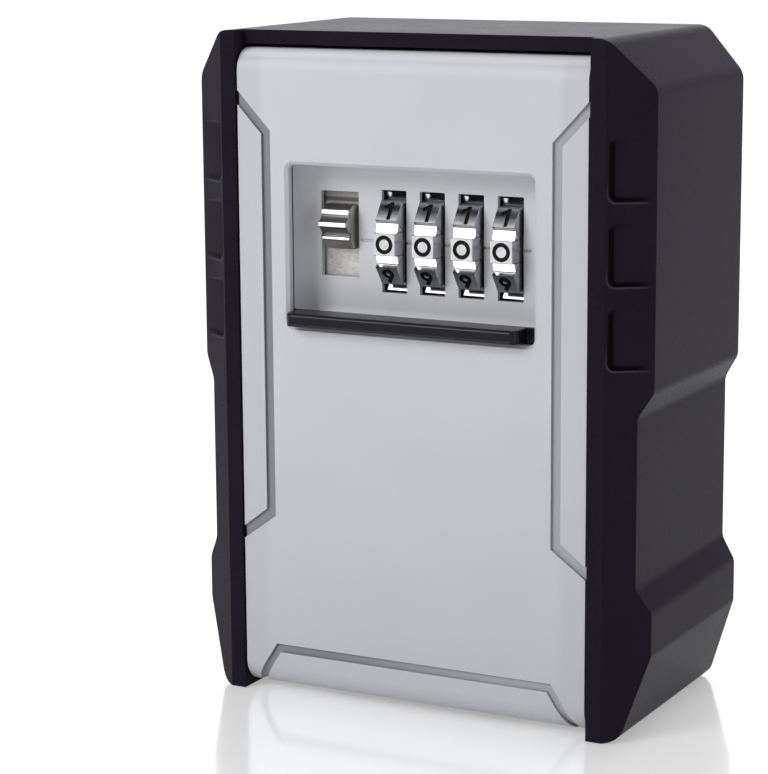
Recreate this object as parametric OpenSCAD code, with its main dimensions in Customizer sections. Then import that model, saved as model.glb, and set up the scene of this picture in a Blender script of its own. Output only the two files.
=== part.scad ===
// Key safe for a wall: a ribbed black case, a drop-down front door with four
// number dials, and a key cavity behind it. Millimetres.
// X runs across, Y runs back to the wall and Z is up. The foot stands on Z = 0,
// and the middle of the overall depth is at Y = 0.

/* [Case] */
// overall width across both wings
case_width = 105; // [104:0.5:108]
// overall height
case_height = 143.5; // [142.5:0.5:147]
// depth from the front rim to the wall
case_depth = 54; // [53:0.5:60]
// distance from the middle to the outer edge of the flat front rim
rim_half_width = 44; // [43:0.25:45]
// width of the flat front rim beside the door
rim_width = 3.4; // [2.8:0.1:4]
// how far back the sloping face of a wing runs
wing_slope_depth = 6; // [4.5:0.25:7.5]
// top corner cut, measured across
corner_across = 8.4; // [6:0.2:10]
// top corner cut, measured down
corner_down = 9.9; // [7:0.2:12]
// radius that rounds both ends of the top corner cut
corner_round = 4; // [2:0.25:5]
// how far the waist steps in on each side
waist_inset = 2.8; // [1.6:0.1:3.2]
// distance from the top down to where the waist starts to slope in
waist_drop = 70.7; // [67.5:0.2:71.5]
// height of one sloping step
waist_slope = 5; // [3.5:0.25:6]
// radius that rounds the bends of the waist
waist_round = 3.5; // [1:0.25:4]
// height at which the lower step has slid back out
foot_upper = 27.2; // [26:0.2:29]
// height at which the foot starts to taper
foot_taper_height = 18; // [14:0.5:22]
// how far the foot tapers in on each side
foot_taper = 5.5; // [5:0.25:8]
// radius that rounds the corners of the foot
foot_round = 3.4; // [3:0.2:7]
// thickness of the top wall
top_wall = 3; // [2.5:0.1:4]
// how far the front edge of the top wall is set back
top_set_back = 3.4; // [2:0.2:5]
// thickness of the moulded walls of the wings
shell_wall = 2.3; // [1.8:0.1:2.8]
// greatest depth of the grip pads pressed into the wings
pad_depth = 0.9; // [0.5:0.1:1.2]
// distance along the slope from the flat rim to a grip pad
pad_inset = 0.6; // [0.6:0.1:2]
// how far a pad's walls run sideways for each millimetre of depth
pad_flare = 1.1; // [0.6:0.1:1.3]
// radius of a pad's corners at the surface
pad_round = 1.7; // [1.6:0.1:2.2]
// height of one grip pad
pad_height = 13.2; // [9:0.2:13.4]
// distance from one grip pad to the next
pad_pitch = 16.9; // [14.5:0.1:17]
// distance from the top down to the middle of the lowest grip pad
pad_drop = 59.3; // [57.5:0.2:60.5]

/* [Key cavity] */
// half width of the cavity and of the opening in the frame
cavity_half_width = 36.3; // [35.5:0.1:36.8]
// height of the cavity floor
cavity_floor = 11; // [10.6:0.1:12]
// distance from the top of the case down to the frame opening
opening_drop = 19; // [18:0.1:19.2]
// distance from the top of the case down to the frame rail
rail_drop = 12.5; // [11.5:0.1:12.7]
// room between the frame rail's lower edge and the cavity ceiling
ceiling_rise = 3.9; // [3.5:0.1:4.1]
// wall of the inner metal case
inner_wall = 2.2; // [1.6:0.1:2.6]
// thickness of the metal back plate
back_plate = 3; // [2:0.25:4]
// thickness of the black front frame
frame_thickness = 3; // [2.4:0.1:3.6]
// radius of the fixing holes in the back plate
fixing_hole_radius = 3.2; // [2.5:0.1:4]
// distance between the fixing holes across
fixing_across = 47; // [40:0.5:52]
// distance between the fixing holes up and down
fixing_up = 44; // [38:0.5:46]
// distance from the top of the case down to the upper fixing holes
fixing_drop = 69.5; // [69.5:0.5:71.5]

/* [Key hooks] */
// width of the hook strip
strip_width = 68; // [60:0.5:70]
// distance from the top of the case down to the hook strip's lower edge
strip_drop = 64.9; // [63.5:0.2:64.9]
// height of the hook strip itself
strip_tall = 13.7; // [12:0.1:15]
// thickness of the hook strip
strip_thickness = 1.6; // [1.2:0.1:2.2]
// distance from the middle to a key hook
hook_out = 17; // [14:0.5:20]
// radius of the hook wire
hook_wire = 1.3; // [1:0.1:1.6]
// how far a key hook reaches forward
hook_reach = 8; // [6:0.25:10]

/* [Door] */
// gap on each side of the door
door_side_gap = 0.4; // [0.3:0.05:0.6]
// gap above the door
door_top_gap = 0.7; // [0.6:0.05:1]
// height of the door's lower edge
door_low = 1; // [1:0.1:1.6]
// how far the door's face lies behind the front rim
door_set_back = 0.3; // [0.1:0.1:0.8]
// thickness of the door from face to inner edge
door_thickness = 16.7; // [16.7:0.1:17.5]
// thickness of the door's skin
skin = 2; // [1.9:0.1:3]
// thickness of the door's side and top edges
door_edge = 2.4; // [2:0.1:2.6]
// radius of the roll at the top of the door
top_roll = 5; // [4.5:0.25:8]
// radius of the roll at the bottom of the door
bottom_roll = 5.5; // [5.5:0.1:6]
// distance from the door's face back to the hinge pin
pin_back = 8; // [8:0.1:8.4]
// distance from the door's lower edge up to the hinge pin
pin_up = 8.3; // [8.1:0.1:8.5]
// radius of the hinge pin
pin_radius = 1.5; // [1.2:0.1:1.7]
// running clearance round the hinge pin and the dial spindle
running_gap = 0.08; // [0.04:0.01:0.1]
// width of the decorative grooves
groove_width = 2.2; // [1.4:0.1:2.8]
// depth of the decorative grooves
groove_depth = 0.7; // [0.4:0.05:1]
// distance from the middle to the outer line of the side grooves
groove_out = 34.6; // [34:0.1:35.5]
// height of the upper line of the bottom groove
groove_low = 11; // [10:0.2:13]
// height of the lower bend of the side grooves
groove_bend = 41; // [39:0.5:43]
// distance from the top of the case down to the upper bend of the side grooves
groove_drop = 21.5; // [21.5:0.5:24]
// half width of the hinge bracket's upright
bracket_half_width = 11.8; // [11:0.1:13]
// how far the hinge bracket's upright stands in front of the frame
bracket_reach = 6.2; // [5.8:0.1:6.4]
// height of the top of the hinge bracket
bracket_top = 21.5; // [20.6:0.1:22]
// half width of the narrow notch in the hinge bracket
bracket_notch = 6.9; // [6:0.1:7.5]

/* [Dial window] */
// width of the window in the door
window_width = 56.8; // [55:0.2:57.2]
// height of the window in the door
window_height = 34.4; // [33:0.2:35]
// distance from the top of the case down to the window's lower edge
window_drop = 62.1; // [61.5:0.1:62.5]
// width of the chamfer round the window
window_edge = 0.7; // [0.3:0.1:1]
// radius of the window's corners
window_round = 1.2; // [0.8:0.1:2]
// distance from the door's face back to the dial plate
plate_back = 9.3; // [9.3:0.1:9.6]
// thickness of the dial plate
plate_thickness = 1.2; // [1:0.1:1.3]
// radius of the coved edge of the recess
cove = 4.5; // [3:0.25:4.75]
// width of the index line on the dial plate
index_width = 0.6; // [0.3:0.1:0.8]
// depth of the index line
index_depth = 0.5; // [0.2:0.05:0.6]

/* [Dials] */
// distance from the spindle to the flat of a land
dial_radius = 11.7; // [11.3:0.1:11.7]
// width of a dial
dial_width = 4.9; // [4.5:0.1:5]
// distance from one dial to the next
dial_pitch = 9; // [8.9:0.1:9.3]
// X of the middle of the four dials
dials_middle = 5.5; // [5.2:0.1:5.5]
// distance from the top of the case down to the spindle
spindle_drop = 44.1; // [43.9:0.1:44.5]
// distance from the door's face back to the front of the dials
dial_front = 4.7; // [4.7:0.05:4.9]
// radius of the spindle
spindle_radius = 1.5; // [1.2:0.1:2]
// height of one land, along the rim
land_height = 4.8; // [4.5:0.1:5.2]
// how far the flat bands between the lands lie below the land's own radius
grip_depth = 0.9; // [0.6:0.1:1.4]
// height of a band between two lands
band_height = 2; // [1.4:0.1:2.2]
// height of a digit
digit_height = 4; // [3.4:0.1:4.2]
// depth of an engraved digit
digit_depth = 0.4; // [0.25:0.05:0.6]
// extra width of a dial slot
dial_slot_play = 0.9; // [0.7:0.1:1.2]
// height of a dial slot
dial_slot_height = 21.8; // [21.6:0.1:22.6]
// radius of a code cam
cam_radius = 5.4; // [5:0.1:5.5]
// thickness of a code cam
cam_thickness = 1.2; // [1:0.1:1.4]

/* [Opening lever] */
// X of the middle of the lever
lever_middle = -20.4; // [-20.6:0.1:-20.2]
// width of the lever
lever_width = 7; // [6:0.1:7.4]
// distance from the top of the case down to the lever's middle ridge
lever_drop = 40.3; // [40.1:0.1:40.7]
// how far the lever's middle ridge stands in front of the dial plate
lever_reach = 4.7; // [4.2:0.1:4.7]
// how far the lever and the latch slide down
latch_travel = 5.5; // [4.5:0.1:5.5]
// width of the lever's slot
lever_slot_width = 8.9; // [8.4:0.1:9]
// thickness of the latch plate
latch_thickness = 1.2; // [1:0.1:1.4]
// distance from the middle to a latch hook
latch_hook_out = 9.5; // [8.5:0.1:10.5]
// width of a latch hook
latch_hook_width = 6.2; // [5:0.1:7]
// distance from the top of the case down to the underside of a latch hook
latch_hook_drop = 26.1; // [25.9:0.1:26.1]

/* [Shutter] */
// thickness of the shutter plate
shutter_thickness = 0.9; // [0.7:0.05:1]
// height of the shutter's finger lip
lip_height = 2.9; // [2.4:0.1:3.4]
// how far the lip stands in front of the door's face
lip_reach = 3.5; // [2.5:0.1:4.5]
// gap between the window's left side and the lip
lip_gap_left = 0.8; // [0.6:0.1:2]
// gap between the window's right side and the lip
lip_gap_right = 2.4; // [0.6:0.1:3]
// radius of the lip's two front corners, seen from above
lip_corner = 1.8; // [1:0.1:2.5]
// rounding of the lip's long edges
lip_edge = 0.8; // [0.4:0.1:1.1]
// how far the plate is wider than the window on each side
shutter_overlap = 2; // [1.6:0.1:2.2]

/* [Lock cover] */
// half width of the raised block on the cover
block_half_width = 35.2; // [34.8:0.1:35.4]
// distance from the top of the case down to the cover block's lower edge
block_low_drop = 77.5; // [76.5:0.5:79.5]
// distance from the top of the case down to the cover block's upper edge
block_high_drop = 22.5; // [22:0.1:23]
// how far the block stands behind the door's inner edge
block_rise = 4; // [3.5:0.1:4.5]
// wall of the cover
cover_wall = 1.2; // [1:0.1:1.3]
// X of the left side of the dial housing
housing_left = -20; // [-21:0.1:-19]
// X of the right side of the dial housing
housing_right = 24.4; // [24.2:0.1:25]
// distance from the top of the case down to the cover screws
cover_screw_drop = 35.5; // [31.5:0.5:43.5]
// distance from the middle to a cover screw
cover_screw_out = 33.2; // [33.1:0.1:33.4]
// radius of a cover screw's head
cover_screw_head = 2.5; // [2.2:0.1:2.7]
// how far the code-change lever slides
reset_travel = 9; // [6:0.25:9]

/* [Hidden] */
$fn = 48;
tiny = 0.01;
half_width = case_width / 2;
foot_half_width = half_width - foot_taper;
waist_half_width = half_width - waist_inset;
slope_angle = atan(wing_slope_depth / (half_width - rim_half_width));
slope_length = norm([half_width - rim_half_width, wing_slope_depth]);
waist_upper = case_height - waist_drop;
pad_lowest = case_height - pad_drop;
opening_top = case_height - opening_drop;
rail_top = case_height - rail_drop;
fixing_upper = case_height - fixing_drop;
strip_low = case_height - strip_drop;
groove_high = case_height - groove_drop;
window_low = case_height - window_drop;
spindle_height = case_height - spindle_drop;
lever_height = case_height - lever_drop;
latch_hook_low = case_height - latch_hook_drop;
block_low = case_height - block_low_drop;
block_high = case_height - block_high_drop;
cover_screw_height = case_height - cover_screw_drop;
hollow_low = 10;
hollow_rib = 4;
hollow_pitch = (case_height - 2 * hollow_low - 0.5) / 3;
shell_screw_low = 30;
shell_screw_high = case_height - 35.5;
pocket_half = rim_half_width - rim_width;
pocket_top = case_height - top_wall;
door_half = pocket_half - door_side_gap;
door_face = door_set_back;
door_back = door_face + door_thickness;
door_top = pocket_top - door_top_gap;
door_inner_half = door_half - door_edge;
pin_y = door_face + pin_back;
pin_z = door_low + pin_up;
heel_radius = door_back - pin_y;
frame_gap = 1;
frame_front = door_back + frame_gap;
frame_back = frame_front + frame_thickness;
frame_half = pocket_half - 0.2;
frame_low = 3;
cavity_back = case_depth - back_plate;
cavity_ceiling = opening_top + ceiling_rise;
case_half = cavity_half_width + inner_wall;
case_low = cavity_floor - inner_wall;
case_top = cavity_ceiling + inner_wall;
fit_gap = 0.15;
knuckle_inner = 22.6;
knuckle_top = 24;
barrel_half = knuckle_inner - 0.6;
barrel_radius = pin_radius + 1.4;
lip_front = door_face - lip_reach;
depth_middle = (lip_front + case_depth) / 2;
window_half = window_width / 2;
window_high = window_low + window_height;
lip_left = lip_gap_left - window_half;
lip_right = window_half - lip_gap_right;
plate_front = door_face + plate_back;
plate_rear = plate_front + plate_thickness;
skin_back = door_face + skin;
channel_depth = shutter_thickness + 0.4;
channel_back = skin_back + channel_depth;
shutter_half = window_half + shutter_overlap;
channel_half = shutter_half + 0.4;
shutter_top = window_low + 0.5 + lip_height;
shutter_travel = window_high - 0.4 - shutter_top;
shutter_low = window_low - 1.6 - shutter_travel;
guide_rim = 2.3;
tray_half = channel_half + guide_rim;
tray_low = window_low - 3.9;
tray_top = window_high + 3.7;
guide_low = shutter_low - 0.9 - guide_rim;
spindle_y = door_face + dial_front + dial_radius;
dial_corner = norm([dial_radius, land_height / 2]);
dial_first = dials_middle - 1.5 * dial_pitch;
latch_front = plate_rear + 0.4;
latch_rear = latch_front + latch_thickness;
lever_low = lever_height - 5.8;
lever_high = lever_height + 3.7;
lever_slot_low = lever_low - latch_travel - 0.6;
lever_slot_high = lever_height + 6.3;
latch_block_top = lever_slot_high + latch_travel + 0.5;
hook_neck_top = latch_hook_low + 2.8;
hook_nose_top = opening_top - 1.6;
hook_nose_front = frame_back + 1.6;
hook_nose_rear = hook_nose_front + 3.4;
latch_bar_top = latch_hook_low + 4;
arm_left = dial_first - dial_width / 2 - 5.2;
arm_right = dial_first - dial_width / 2 - 2.05;
block_back = door_back + block_rise;
housing_inner_back = spindle_y + dial_corner + 0.5;
housing_back = housing_inner_back + cover_wall;
housing_low = spindle_height - dial_corner - 17.4;
housing_high = spindle_height + dial_corner + 6.6;
spring_seat = tray_low + 1.5;
spring_top = lever_slot_low - 0.8;
spring_x = lever_middle + 0.9;
spring_radius = 2;
spring_wire = 0.25;
spring_y = latch_front + spring_radius + spring_wire + 0.1;
reset_x = housing_right + 2;
reset_low = block_low + 2.4;
reset_tab = 5.8;
reset_tab_wall = 1.2;
strip_front = cavity_back - strip_thickness;
hook_z = strip_low + strip_tall * 0.68;
dial_code = [3, 7, 1, 5];

// moves the depth so that the middle of the safe is at Y = 0
module placed() {
  translate([0, -depth_middle, 0]) children();
}

// extrudes an X, Z outline from front to back
module along_y(front, back) {
  translate([0, back, 0]) rotate([90, 0, 0]) linear_extrude(back - front) children();
}

// extrudes a Y, Z outline from left to right
module along_x(left, right) {
  translate([left, 0, 0]) rotate([90, 0, 90]) linear_extrude(right - left) children();
}

// box given by its two opposite corners
module block(low, high) {
  translate(low) cube(high - low);
}

// rounded rectangle given by its two opposite corners
module rounded(low, high, r) {
  translate([low[0] + r, low[1]]) square([high[0] - low[0] - 2 * r, high[1] - low[1]]);
  translate([low[0], low[1] + r]) square([high[0] - low[0], high[1] - low[1] - 2 * r]);
  for (x = [low[0] + r, high[0] - r], z = [low[1] + r, high[1] - r])
    translate([x, z]) circle(r);
}

// round bar along X
module bar_x(left, right, y, z, r) {
  translate([left, y, z]) rotate([0, 90, 0]) cylinder(h = right - left, r = r);
}

// round bar along Y
module bar_y(x, front, back, z, r) {
  translate([x, back, z]) rotate([90, 0, 0]) cylinder(h = back - front, r = r);
}

// Outer case

// points of the arc of radius r that rounds the corner b between a and c
function corner_arc(a, b, c, r) =
  let (u = (a - b) / norm(a - b), v = (c - b) / norm(c - b), half = acos(u * v) / 2,
    middle = b + (u + v) / norm(u + v) * r / sin(half),
    from = b + u * r / tan(half) - middle, to = b + v * r / tan(half) - middle,
    start = atan2(from[1], from[0]), turn = atan2(cross(from, to), from * to))
  [for (k = [0:4]) middle + r * [cos(start + turn * k / 4), sin(start + turn * k / 4)]];

// front outline of the case, as one closed line with every corner rounded
module case_outline() {
  corners = [
    [0, case_height],
    [half_width - corner_across, case_height],
    [half_width, case_height - corner_down],
    [half_width, waist_upper],
    [waist_half_width, waist_upper - waist_slope],
    [waist_half_width, foot_upper + waist_slope],
    [half_width, foot_upper],
    [half_width, foot_taper_height],
    [foot_half_width, 0],
    [0, 0]
  ];
  radii = [0, corner_round, corner_round, waist_round, waist_round, waist_round, waist_round,
    foot_round, foot_round];
  right = [for (i = [1:8]) each corner_arc(corners[i - 1], corners[i], corners[i + 1], radii[i])];
  left = [for (i = [len(right) - 1:-1:0]) [-right[i][0], right[i][1]]];
  polygon(concat(right, left));
}

// grip pads pressed into the slope of one wing: deepest beside the rim, they fade
// out at the crease between the slope and the side, and their walls slope
module wing_pads() {
  reach = slope_length - pad_inset;
  front = -2.5;
  floor = -0.05;
  run_in = pad_depth * pad_flare;
  run_out = (-front - pad_depth) * pad_flare;
  for (i = [0:2]) {
    low = pad_lowest + i * pad_pitch - pad_height / 2;
    high = low + pad_height;
    translate([half_width, wing_slope_depth, 0])
      rotate([0, 0, slope_angle - atan(pad_depth / reach)]) {
        along_x(-reach + pad_round, 8)
          polygon([[floor, low + run_in], [floor, high - run_in], [front, high + run_out],
            [front, low - run_out]]);
        translate([0, 0, low + pad_round]) linear_extrude(high - low - 2 * pad_round)
          polygon([[-reach + run_in, floor], [8, floor], [8, front], [-reach - run_out, front]]);
        for (z = [low + pad_round, high - pad_round])
          translate([-reach + pad_round, front, z]) rotate([-90, 0, 0])
            cylinder(h = floor - front, r1 = pad_round + run_out, r2 = pad_round - run_in);
      }
  }
}

// what one wing loses: its sloping front, the pads and the hollows behind
module wing_cuts() {
  linear_extrude(case_height + 2)
    polygon([[rim_half_width, -1], [rim_half_width, 0],
      [half_width + 4, (half_width + 4 - rim_half_width) * tan(slope_angle)],
      [half_width + 4, -1]]);
  wing_pads();
  for (i = [0:2])
    block([pocket_half + shell_wall, wing_slope_depth + 3.5, hollow_low + i * hollow_pitch],
      [waist_half_width - shell_wall, case_depth + 1,
        hollow_low + (i + 1) * hollow_pitch - hollow_rib]);
}

module outer_shell() {
  color([0.13, 0.13, 0.14]) placed() difference() {
    along_y(0, case_depth) case_outline();
    block([-pocket_half, -1, -1], [pocket_half, frame_front, pocket_top]);
    block([-pocket_half, -1, pocket_top - 1], [pocket_half, top_set_back, case_height + 1]);
    block([-pocket_half, frame_front - 1, frame_low - 0.2],
      [pocket_half, frame_back, pocket_top]);
    block([-case_half, frame_back - 1, rail_top + 0.2],
      [case_half, frame_back + 3, pocket_top]);
    block([-case_half - fit_gap, frame_back - 1, case_low - fit_gap],
      [case_half + fit_gap, case_depth + 1, case_top + fit_gap]);
    block([-34, frame_back + 6, case_top + 2.4], [34, case_depth + 1, pocket_top - 1.5]);
    block([-34, frame_back + 3, 2.4], [34, case_depth + 1, case_low - 2.6]);
    wing_cuts();
    mirror([1, 0, 0]) wing_cuts();
    bar_x(-pocket_half - 2, pocket_half + 2, pin_y, pin_z, pin_radius + 0.05);
    for (i = [0:3]) shell_screw_hole(i);
  }
}

// middle of one of the four screws that hold the inner case in the shell
function shell_screw_at(i) = [
  i % 2 == 0 ? -1 : 1,
  (frame_back + cavity_back) / 2,
  i < 2 ? shell_screw_low : shell_screw_high
];

module shell_screw_hole(i) {
  at = shell_screw_at(i);
  reach = case_half + 3;
  bar_x(min(at[0] * (cavity_half_width - 1), at[0] * reach),
    max(at[0] * (cavity_half_width - 1), at[0] * reach), at[1], at[2], 1.25);
}

// screw i of the four between the inner case and the shell
module shell_screw(i) {
  at = shell_screw_at(i);
  color([0.72, 0.72, 0.74]) placed() translate([0, at[1], at[2]])
    rotate([0, at[0] > 0 ? 90 : -90, 0]) difference() {
      union() {
        translate([0, 0, cavity_half_width - 1.1]) cylinder(h = 1.1, r = 2.2);
        translate([0, 0, cavity_half_width - tiny]) cylinder(h = inner_wall + 2.8, r = 1.2);
      }
      translate([-0.3, -1.5, cavity_half_width - 1.2]) cube([0.6, 3, 0.7]);
      translate([-1.5, -0.3, cavity_half_width - 1.2]) cube([3, 0.6, 0.7]);
    }
}

// Key cavity

// middle of one of the four fixing holes, as X and Z
function fixing_at(i) = [
  (i % 2 == 0 ? -1 : 1) * fixing_across / 2,
  fixing_upper - (i < 2 ? 0 : fixing_up)
];

// middle of one of the four small screws in the hook strip, as X and Z
function strip_screw_at(i) = [
  (i - 1.5) * (strip_width - 8) / 3,
  strip_low + strip_tall * 0.32
];

module inner_case() {
  color([0.6, 0.61, 0.63]) placed() difference() {
    block([-case_half, frame_back, case_low], [case_half, case_depth, case_top]);
    block([-cavity_half_width, frame_back - 1, cavity_floor],
      [cavity_half_width, cavity_back, cavity_ceiling]);
    for (i = [0:3]) {
      bar_y(fixing_at(i)[0], cavity_back - 1, case_depth + 1, fixing_at(i)[1],
        fixing_hole_radius);
      bar_y(strip_screw_at(i)[0], cavity_back - 1, cavity_back + 1.6, strip_screw_at(i)[1], 0.85);
      shell_screw_hole(i);
    }
    bar_y(0, cavity_back - 1, case_depth + 1, fixing_upper, fixing_hole_radius);
  }
}

module front_frame() {
  color([0.1, 0.1, 0.11]) placed() difference() {
    block([-frame_half, frame_front, frame_low], [frame_half, frame_back, rail_top]);
    along_y(frame_front - 1, frame_back + 1)
      rounded([-cavity_half_width, cavity_floor], [cavity_half_width, opening_top], 3);
  }
}

module weather_seal() {
  color([0.05, 0.05, 0.05]) placed() difference() {
    block([-frame_half + 0.6, door_back + 0.3, cavity_floor + 1.5],
      [frame_half - 0.6, frame_front, rail_top - 0.4]);
    block([-cavity_half_width - 1, door_back, cavity_floor],
      [cavity_half_width + 1, frame_front + 1, opening_top + 2]);
  }
}

module strike_plate() {
  color([0.75, 0.75, 0.76]) placed()
    block([-latch_hook_out - 5, frame_back, opening_top + 0.2],
      [latch_hook_out + 5, frame_back + 1.2, cavity_ceiling - 0.1]);
}

module hook_bar() {
  color([0.62, 0.63, 0.65]) placed() difference() {
    along_y(strip_front, cavity_back)
      rounded([-strip_width / 2, strip_low], [strip_width / 2, strip_low + strip_tall], 1.2);
    for (i = [0:3])
      bar_y(strip_screw_at(i)[0], strip_front - 1, cavity_back + 1, strip_screw_at(i)[1], 0.85);
  }
}

// cross-headed screw i of the four in the hook strip
module hook_bar_screw(i) {
  at = strip_screw_at(i);
  color([0.7, 0.7, 0.71]) placed() difference() {
    union() {
      bar_y(at[0], strip_front - 0.9, strip_front, at[1], 1.6);
      bar_y(at[0], strip_front - tiny, cavity_back + 1.4, at[1], 0.8);
    }
    block([at[0] - 0.25, strip_front - 1.5, at[1] - 1.1], [at[0] + 0.25, strip_front - 0.4, at[1] + 1.1]);
    block([at[0] - 1.1, strip_front - 1.5, at[1] - 0.25], [at[0] + 1.1, strip_front - 0.4, at[1] + 0.25]);
  }
}

// wire hook that leaves the strip, turns up and ends in a ball
module key_hook(x) {
  tip = strip_front - hook_reach;
  color([0.78, 0.78, 0.79]) placed() {
    bar_y(x, strip_front - 0.8, strip_front, hook_z, hook_wire + 1);
    bar_y(x, tip, strip_front - 0.8 + tiny, hook_z, hook_wire);
    translate([x, tip, hook_z]) sphere(hook_wire);
    translate([x, tip, hook_z]) cylinder(h = 3.6, r = hook_wire);
    translate([x, tip, hook_z + 3.6]) sphere(hook_wire + 0.25);
  }
}

// Hinge

module hinge_pin() {
  color([0.7, 0.7, 0.72]) placed()
    bar_x(-pocket_half - 1.4, pocket_half + 1.4, pin_y, pin_z, pin_radius);
}

module hinge_barrel() {
  color([0.78, 0.78, 0.78]) placed() difference() {
    bar_x(-barrel_half, barrel_half, pin_y, pin_z, barrel_radius);
    bar_x(-barrel_half - 1, barrel_half + 1, pin_y, pin_z, pin_radius + 0.05);
  }
}

module hinge_bracket() {
  foot = pin_z - 1.4;
  sill = pin_z + 2.7;
  notch_front = frame_front - bracket_reach - 1;
  notch_back = frame_front - 1.6;
  color([0.62, 0.63, 0.65]) placed() difference() {
    union() {
      block([-bracket_half_width, frame_front - bracket_reach, foot],
        [bracket_half_width, frame_front, bracket_top]);
      block([-barrel_half, pin_y + 0.4, foot], [barrel_half, frame_front, pin_z + 1.9]);
    }
    block([-bracket_notch, notch_front, sill], [bracket_notch, notch_back, bracket_top - 2.7]);
    block([-bracket_notch - 2.3, notch_front, sill],
      [bracket_notch + 2.3, notch_back, bracket_top - 5.7]);
    bar_x(-barrel_half - 1, barrel_half + 1, pin_y, pin_z, barrel_radius + 0.02);
  }
}

// Door

// side outline of the door, drawn in by an inset from the face, top and bottom
module door_outline(inset) {
  front = door_face + inset;
  top = door_top - inset;
  low = door_low + inset;
  round_top = top_roll - inset;
  round_low = bottom_roll - inset;
  translate([front, pin_z]) square([door_back - front, top - round_top - pin_z]);
  intersection() {
    translate([front, top - round_top - 1]) square([door_back - front, round_top + 1]);
    union() {
      translate([front + round_top, top - round_top - 1]) square([door_back, round_top + 1]);
      translate([front + round_top, top - round_top]) circle(round_top);
    }
  }
  translate([front, low + round_low]) square([pin_y - front, pin_z - low - round_low + tiny]);
  translate([front + round_low, low + round_low]) circle(round_low);
  intersection() {
    translate([front + round_low, low]) square([door_back - front - round_low, pin_z - low]);
    translate([pin_y, pin_z]) circle(heel_radius);
  }
}

// hollow of the door: full width above the hinge, narrower between the knuckles
module door_hollow() {
  top = door_top - door_edge;
  round_top = top_roll - door_edge;
  round_low = bottom_roll - skin;
  along_x(-door_inner_half, door_inner_half) {
    translate([skin_back, knuckle_top])
      square([door_back - skin_back + 1, top - round_top - knuckle_top]);
    translate([skin_back + round_top, top - round_top - 1])
      square([door_back - skin_back - round_top + 1, round_top + 1]);
    translate([skin_back + round_top, top - round_top]) circle(round_top);
  }
  along_x(-knuckle_inner, knuckle_inner) {
    translate([skin_back, door_low + bottom_roll])
      square([door_back - skin_back + 1, knuckle_top + 1 - door_low - bottom_roll]);
    translate([skin_back + round_low, door_low + bottom_roll]) circle(round_low);
    translate([pin_y - 2.2, -1]) square([door_back, knuckle_top]);
  }
}

// outlines of the decorative grooves on one half of the door's face
module groove_lines() {
  inner = groove_out - groove_width;
  edge = door_half + 1;
  low = groove_bend;
  high = groove_high;
  polygon([[inner, low - 1.4], [inner, high + 0.7], [edge, high + 0.7 + (edge - inner) * 1.06],
    [edge, high + (edge - groove_out) * 1.06], [groove_out, high], [groove_out, low],
    [edge, low - (edge - groove_out) * 0.76], [edge, low - 1.4 - (edge - inner) * 0.72]]);
  polygon([[-1, groove_low], [groove_out - 2, groove_low], [edge - 1, -1],
    [edge - 3, -1], [groove_out - 2.9, groove_low - groove_width * 0.86],
    [-1, groove_low - groove_width * 0.86]]);
}

// chamfer round the window, as a solid that widens towards the front
module window_flare() {
  r = window_round;
  front = door_face - 0.2;
  back = door_face + window_edge;
  out = window_edge + 0.2;
  along_x(-window_half + r, window_half - r)
    polygon([[front, window_low - out], [back, window_low], [back, window_high],
      [front, window_high + out]]);
  translate([0, 0, window_low + r]) linear_extrude(window_height - 2 * r)
    polygon([[-window_half - out, front], [window_half + out, front], [window_half, back],
      [-window_half, back]]);
  for (x = [r - window_half, window_half - r], z = [window_low + r, window_high - r])
    translate([x, front, z]) rotate([-90, 0, 0]) cylinder(h = back - front, r1 = r + out, r2 = r);
}

module door_panel() {
  color([0.73, 0.74, 0.76]) placed() difference() {
    union() {
      difference() {
        along_x(-door_half, door_half) door_outline(0);
        door_hollow();
      }
      for (side = [-1, 1])
        bar_y(side * cover_screw_out, skin_back - tiny, door_back - 2.2, cover_screw_height, 2.2);
    }
    difference() {
      along_y(door_face - 1, door_face + 6) {
        groove_lines();
        mirror([1, 0]) groove_lines();
      }
      along_x(-door_half - 2, door_half + 2) door_outline(groove_depth);
    }
    along_y(door_face - 1, skin_back + 0.5)
      rounded([-window_half, window_low], [window_half, window_high], window_round);
    window_flare();
    bar_x(-door_half - 1, door_half + 1, pin_y, pin_z, pin_radius + running_gap);
    for (side = [-1, 1])
      bar_y(side * cover_screw_out, door_back - 9, door_back, cover_screw_height, 1.45);
  }
}

// X of the middle of dial i, counted from the left
function dial_at(i) = dial_first + i * dial_pitch;

// scooped recess of the dial tray with coved edges
module tray_scoop() {
  half = window_half + 0.6;
  low = window_low - 0.6;
  high = window_high + 0.6;
  intersection() {
    translate([0, 0, low - 1]) linear_extrude(high - low + 2) {
      translate([-half, channel_back - 1])
        square([2 * half, plate_front - cove - channel_back + 1]);
      translate([-half + cove, channel_back - 1])
        square([2 * (half - cove), plate_front - channel_back + 1]);
      for (side = [-1, 1]) translate([side * (half - cove), plate_front - cove]) circle(cove);
    }
    along_x(-half - 1, half + 1) {
      translate([channel_back - 1, low]) square([plate_front - cove - channel_back + 1, high - low]);
      translate([channel_back - 1, low + cove])
        square([plate_front - channel_back + 1, high - low - 2 * cove]);
      for (z = [low + cove, high - cove]) translate([plate_front - cove, z]) circle(cove);
    }
  }
}

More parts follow.
